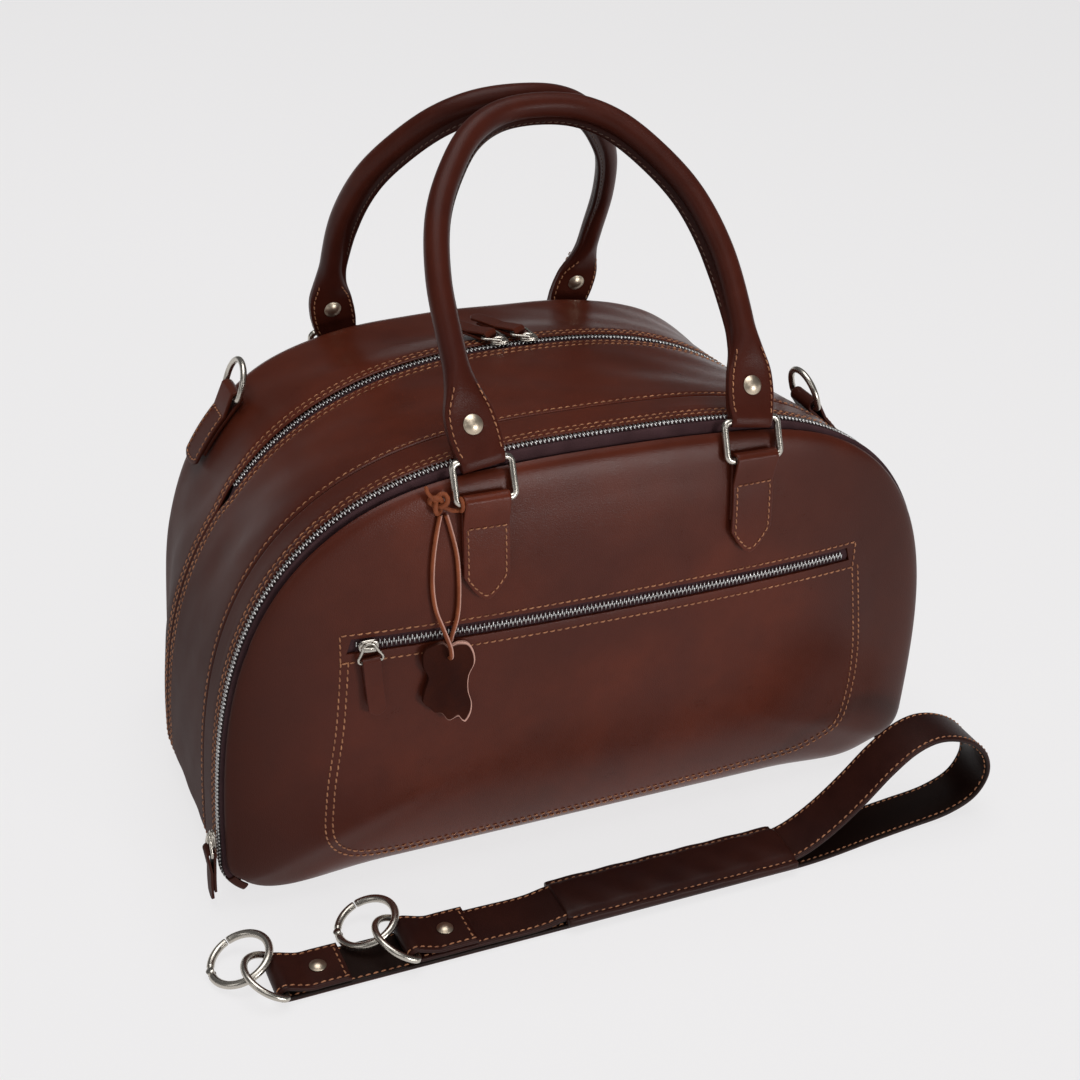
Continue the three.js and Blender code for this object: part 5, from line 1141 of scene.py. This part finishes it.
hitch = np.stack([np.linspace(-97.0, -96.3, 18), bar[1] + 3.3 * np.cos(angle),
                  bar[2] + 3.3 * np.sin(angle)], -1)
hitch = np.concatenate([[knot_at + [2, 0.5, -2.5], [-100.6, bar[1] + 1.2, bar[2] - 3.6]], hitch])
tail_plane = np.array([0.6, 0.7, 0.4])
tails = [tube(smooth_path(route, count), np.linspace(LACE_RADIUS, 1.0, count), tail_plane, 12)
         for route, count in ((tail, 24), (hitch, 70))]
knot_piece = piece("charm_knot_lace", together(knot, *tails), lace_leather, "bag", "leather", "charm_knot")
hide_middle = np.array([0, HIDE_HOLE - HIDE_LENGTH / 2])
closed = smooth_path(np.concatenate([HIDE_OUTLINE[-2:], HIDE_OUTLINE, HIDE_OUTLINE[:3]]), 900) - hide_middle
around = np.arctan2(closed[:, 0], closed[:, 1])
angle = np.linspace(-np.pi, np.pi, 161)[:-1]
order = np.argsort(around)
reach = np.interp(angle, around[order], np.hypot(*closed[order].T), period=2 * np.pi)
share = np.array([1, 0.97, 0.94, 0.9, 0.8, 0.6, 0.35, 0.12, 0])[:, None]
across, down = reach * share * np.sin(angle), HIDE_LENGTH / 2 - reach * share * np.cos(angle)
hide_out = face_out(FRONT, np.array(HIDE_X), np.array(HIDE_TOP - HIDE_LENGTH / 2))
hide_across = unit(X_AXIS - hide_out * hide_out[0])
hide_up = np.cross(hide_out, hide_across)
top = on_face(FRONT, HIDE_X, HIDE_TOP, HIDE_HEIGHT)
curl = 0.5 * np.sin(across * 0.3 + 1) + 0.7 * ease(36, HIDE_LENGTH, down)
sheet = top + across[..., None] * hide_across - down[..., None] * hide_up + curl[..., None] * hide_out
edge = np.where(share > 0.98, ease(-8, 4, across), np.where(share > 0.95, ease(2, 9, across), 0.0))
shape = (*grid(sheet[:, ::-1], columns_closed=True), edge[:, ::-1].ravel())
hide = piece("charm_hide_leather", shape, hide_leather, "bag", "suede", "charm_hide", wall=LEATHER,
             bevel=0.35, inset=0)
tuple(lace_path[0] * 0.001)
(lace_path * 0.001).tolist()

# Strap
# A shoulder strap of thick, darker leather with a row of thread along both edges and a black-brown flesh
# side. It lies folded in two, its fold standing up as a loop, and each end is folded round a D-ring and
# riveted.
STRAP_WIDTH, STRAP_THICK, STRAP_Y = 30, 3.2, -191.5
LOW_Z, STRAP_TURN, LOW_BAR, HIGH_BAR, PAD_Z = 1.6, 4, -218, -143, 8.1
HIGH_Z = LOW_Z + STRAP_THICK + GAP
LOOP = [[100, LOW_Z], [150, LOW_Z], [192, 2.4], [222, 6.5], [238.5, 15], [245, 29], [242, 43], [232, 55],
        [217, 63.5], [201, 66.5], [185, 62.5], [168, 51.5], [151, 37], [135, 25], [121, 16.5], [109.5, 11],
        [101, 8.5]]
LOOP_DRIFT, EDGE_ROW, FLAP_ROW = 8, 12.6, 34.5
strap_leather = leather("strap_leather", (0.024, 0.0065, 0.0045), (0.046, 0.0115, 0.0075), patch=14,
                        roughness=0.44, coat=0.04, other=(0.012, 0.0055, 0.004))


def strap_end(bar_x, bar_z):
    """Half a turn round a D-ring's bar, from under it to over it."""
    angle = np.linspace(-np.pi / 2, -1.5 * np.pi, 9)
    return np.stack([bar_x + STRAP_TURN * np.cos(angle), bar_z + STRAP_TURN * np.sin(angle)], -1)


def strap_flap(bar_x, z):
    """The end folded back on the strap."""
    return np.array([[bar_x + reach, z + STRAP_THICK + GAP] for reach in (14, 22, 30, 37)])


on_floor = [[-180, LOW_Z], [-60, LOW_Z], [40, LOW_Z]]
in_pad = [[95, PAD_Z], [30, PAD_Z], [-49, PAD_Z], [-67, HIGH_Z], [-100, HIGH_Z]]
strap_line = smooth_path(np.concatenate([
    strap_flap(LOW_BAR, LOW_Z)[::-1], strap_end(LOW_BAR, LOW_Z + STRAP_TURN)[::-1], on_floor, LOOP, in_pad,
    strap_end(HIGH_BAR, HIGH_Z + STRAP_TURN), strap_flap(HIGH_BAR, HIGH_Z)]), 520)
strap_ahead = unit(np.gradient(strap_line, axis=0))
strap_out = np.stack([strap_ahead[:, 1], 0 * strap_ahead[:, 0], -strap_ahead[:, 0]], -1)
strap_y = STRAP_Y + LOOP_DRIFT * ease(100, 200, strap_line[:, 0])
strap_middle = np.stack([strap_line[:, 0], strap_y, strap_line[:, 1]], -1)
half = STRAP_WIDTH / 2
outer = np.array([[-half, 0], [-half + 0.1, 0.7], [-half + 0.5, 1.25], [-half + 1.3, 1.55],
                  [-EDGE_ROW, 1.5], [-11, 1.6], [-6, 1.6], [0, 1.6]])
outer = np.concatenate([outer, (outer * [-1, 1])[-2::-1]])
section = np.concatenate([outer, (outer * [1, -1])[-2:0:-1]])
rings = strap_middle[:, None] + Y_AXIS * section[:, :1] + strap_out[:, None] * section[:, 1:]
rings[..., 2] = np.maximum(rings[..., 2], 0)
to_end = np.concatenate([np.cumsum(np.linalg.norm(np.diff(strap_line, axis=0), axis=1)[::-1])[::-1], [0]])
flesh = ease(40, 46, to_end)[:, None] * (np.arange(len(section)) >= len(outer))
shape = (*loft(rings), np.concatenate([flesh[:1], flesh, flesh[-1:]]).ravel())
piece("strap_leather_face", shape, strap_leather, "bag", "strap_leather", "strap")
rows = []
for edge in (-EDGE_ROW, EDGE_ROW):
    for face in (-1, 1):
        rows.append(stitches(strap_middle + Y_AXIS * edge + strap_out * face * 1.52, strap_out * face))
y = np.linspace(STRAP_Y - 12, STRAP_Y + 12, 30)
for bar_x, z in ((LOW_BAR, LOW_Z), (HIGH_BAR, HIGH_Z)):
    line = np.stack([bar_x + FLAP_ROW + 0 * y, y, z + 1.5 * STRAP_THICK + GAP - 0.1 + 0 * y], -1)
    rows.append(stitches(line, Z_AXIS + 0 * line))
points, quads = together(*rows)
points[:, 2] = np.maximum(points[:, 2], 0.1)
piece("strap_thread", (points, quads), thread, "bag", "strap_leather")

# Shoulder pad
# A padded sleeve of the strap's leather, drawn over its upper layer and closed by a row of thread along
# each edge, where it is pinched flat.
PAD = dict(x0=-51, x1=101, half=19, low=3.7, high=12.6)
PAD_FLOOR, PAD_ROW, PAD_ROW_Z = 3.6, 15.8, 9.15
station = np.concatenate([[0, 0.004, 0.012], np.linspace(0.03, 0.97, 60), [0.988, 0.996, 1]])
drawn = np.interp(station, [0, 0.012, 0.03, 0.97, 0.988, 1], [0.86, 0.98, 1, 1, 0.98, 0.86])[:, None]
angle = np.arange(56) * 2 * np.pi / 56
y = PAD["half"] * bowed(np.cos(angle), 3.4)
rise = bowed(np.sin(angle), 3.0)
middle, height = (PAD["low"] + PAD["high"]) / 2, (PAD["high"] - PAD["low"]) / 2
pinch = 1 - 0.45 * np.exp(-((np.abs(y) - 15.6) / 1.6) ** 2)
lumps = 0.25 * np.sin(station[:, None] * 37 + y * 0.2)
z = middle - 1.2 * (np.abs(y) / PAD["half"]) ** 2 + drawn * rise * height * np.where(rise > 0, pinch, 1)
z = np.maximum(z + np.where(rise > 0, lumps * pinch, 0), PAD_FLOOR)
x = PAD["x0"] + (PAD["x1"] - PAD["x0"]) * station[:, None] + 0 * y
shape = loft(np.stack([x, STRAP_Y + y * (0.9 + 0.1 * drawn) + 0 * x, z], -1))
piece("strap_pad_leather", shape, strap_leather, "bag", "leather", "strap_pad")
x = np.linspace(PAD["x0"] + 2, PAD["x1"] - 2, 80)
lines = [np.stack([x, STRAP_Y + edge + 0 * x, PAD_ROW_Z + 0 * x], -1) for edge in (-PAD_ROW, PAD_ROW)]
rows = [stitches(line, Z_AXIS + 0 * line) for line in lines]
piece("pad_thread", together(*rows), thread, "bag", "leather")

# Strap hardware
# Nickel D-rings and rivets at the strap's ends, and two round spring-gate clasps linked through the
# D-rings. Each clasp's gate turns inwards on a pin.
STRAP_RING, RING_LIFT = (35.5, 21), np.radians(27)
CLASP_RADIUS, CLASP_WIRE, GATE_WIRE = 17.2, 2.3, 2.3 - 0.12
PIVOT, FREE = 175, 100
CLASPS = dict(left=((-235, -174, 9.1), 1, 21), right=((-161.4, -173, 11.9), -5, 20.6))
EAR = [[0, 1.15], [2.2, 1.15], [2.3, 1.35], [2.3, 2.0], [2.1, 2.25], [0, 2.3]]
EYE = [[0, -1.0], [1.9, -1.0], [2.05, -0.8], [2.05, 0.8], [1.9, 1.0], [0, 1.0]]


def clasp_arc(start, end, count):
    """Points of the clasp's middle circle between two angles in degrees."""
    angle = np.radians(np.linspace(start, end, count))
    return CLASP_RADIUS * np.stack([np.cos(angle), np.sin(angle), 0 * angle], -1)


ring_girth = np.full(90, CLASP_WIRE)
ring_girth[[0, -1]] = CLASP_WIRE - 0.35
gate_girth = np.full(40, GATE_WIRE)
gate_girth[0] -= 0.3
gate_girth[-6:] = np.linspace(GATE_WIRE, 1.0, 6)
pivot = clasp_arc(PIVOT, PIVOT, 1)[0]
ears = [lathe(EAR, pivot, (0, 0, side)) for side in (-1, 1)]
clasp = together(tube(clasp_arc(PIVOT + 9, FREE + 358.2, 90), ring_girth, Z_AXIS, 18), *ears)
gate = together(tube(clasp_arc(FREE + 0.2, PIVOT - 5, 40), gate_girth, Z_AXIS, 18),
                lathe(EYE, pivot, Z_AXIS))
out = np.array([-np.cos(RING_LIFT), 0, np.sin(RING_LIFT)])
for hand, bar_x, z in (("left", LOW_BAR, LOW_Z), ("right", HIGH_BAR, HIGH_Z)):
    line = d_ring(np.array([bar_x, STRAP_Y, z + STRAP_TURN]), Y_AXIS, out, *STRAP_RING)
    ring = tube(line, RING_WIRE, np.cross(out, Y_AXIS), 16, True)
    piece(f"strap_ring_{hand}_nickel", ring, bright, "bag", "nickel", f"strap_ring_{hand}")
    rivet_at = np.array([bar_x + 22, STRAP_Y, z + 1.5 * STRAP_THICK + GAP])
    cap = lathe(rivet_cap(4.8, 1.8, 0.25), rivet_at, Z_AXIS)
    piece(f"strap_rivet_{hand}_nickel", cap, dull, "bag", "nickel", f"strap_rivet_{hand}")
    centre, *angles = CLASPS[hand]
    heading, tilt = np.radians(angles)
    uphill = np.array([np.cos(heading) * np.cos(tilt), np.sin(heading) * np.cos(tilt), np.sin(tilt)])
    level = np.array([-np.sin(heading), np.cos(heading), 0])
    basis = np.stack([uphill, level, np.cross(uphill, level)])
    piece(f"clasp_{hand}_nickel", (clasp[0] @ basis + centre, clasp[1]), bright, "bag", "nickel",
          f"clasp_{hand}")
    piece(f"clasp_gate_{hand}_nickel", (gate[0] @ basis + centre, gate[1]), bright, f"gate_{hand}",
          "nickel", f"clasp_gate_{hand}")
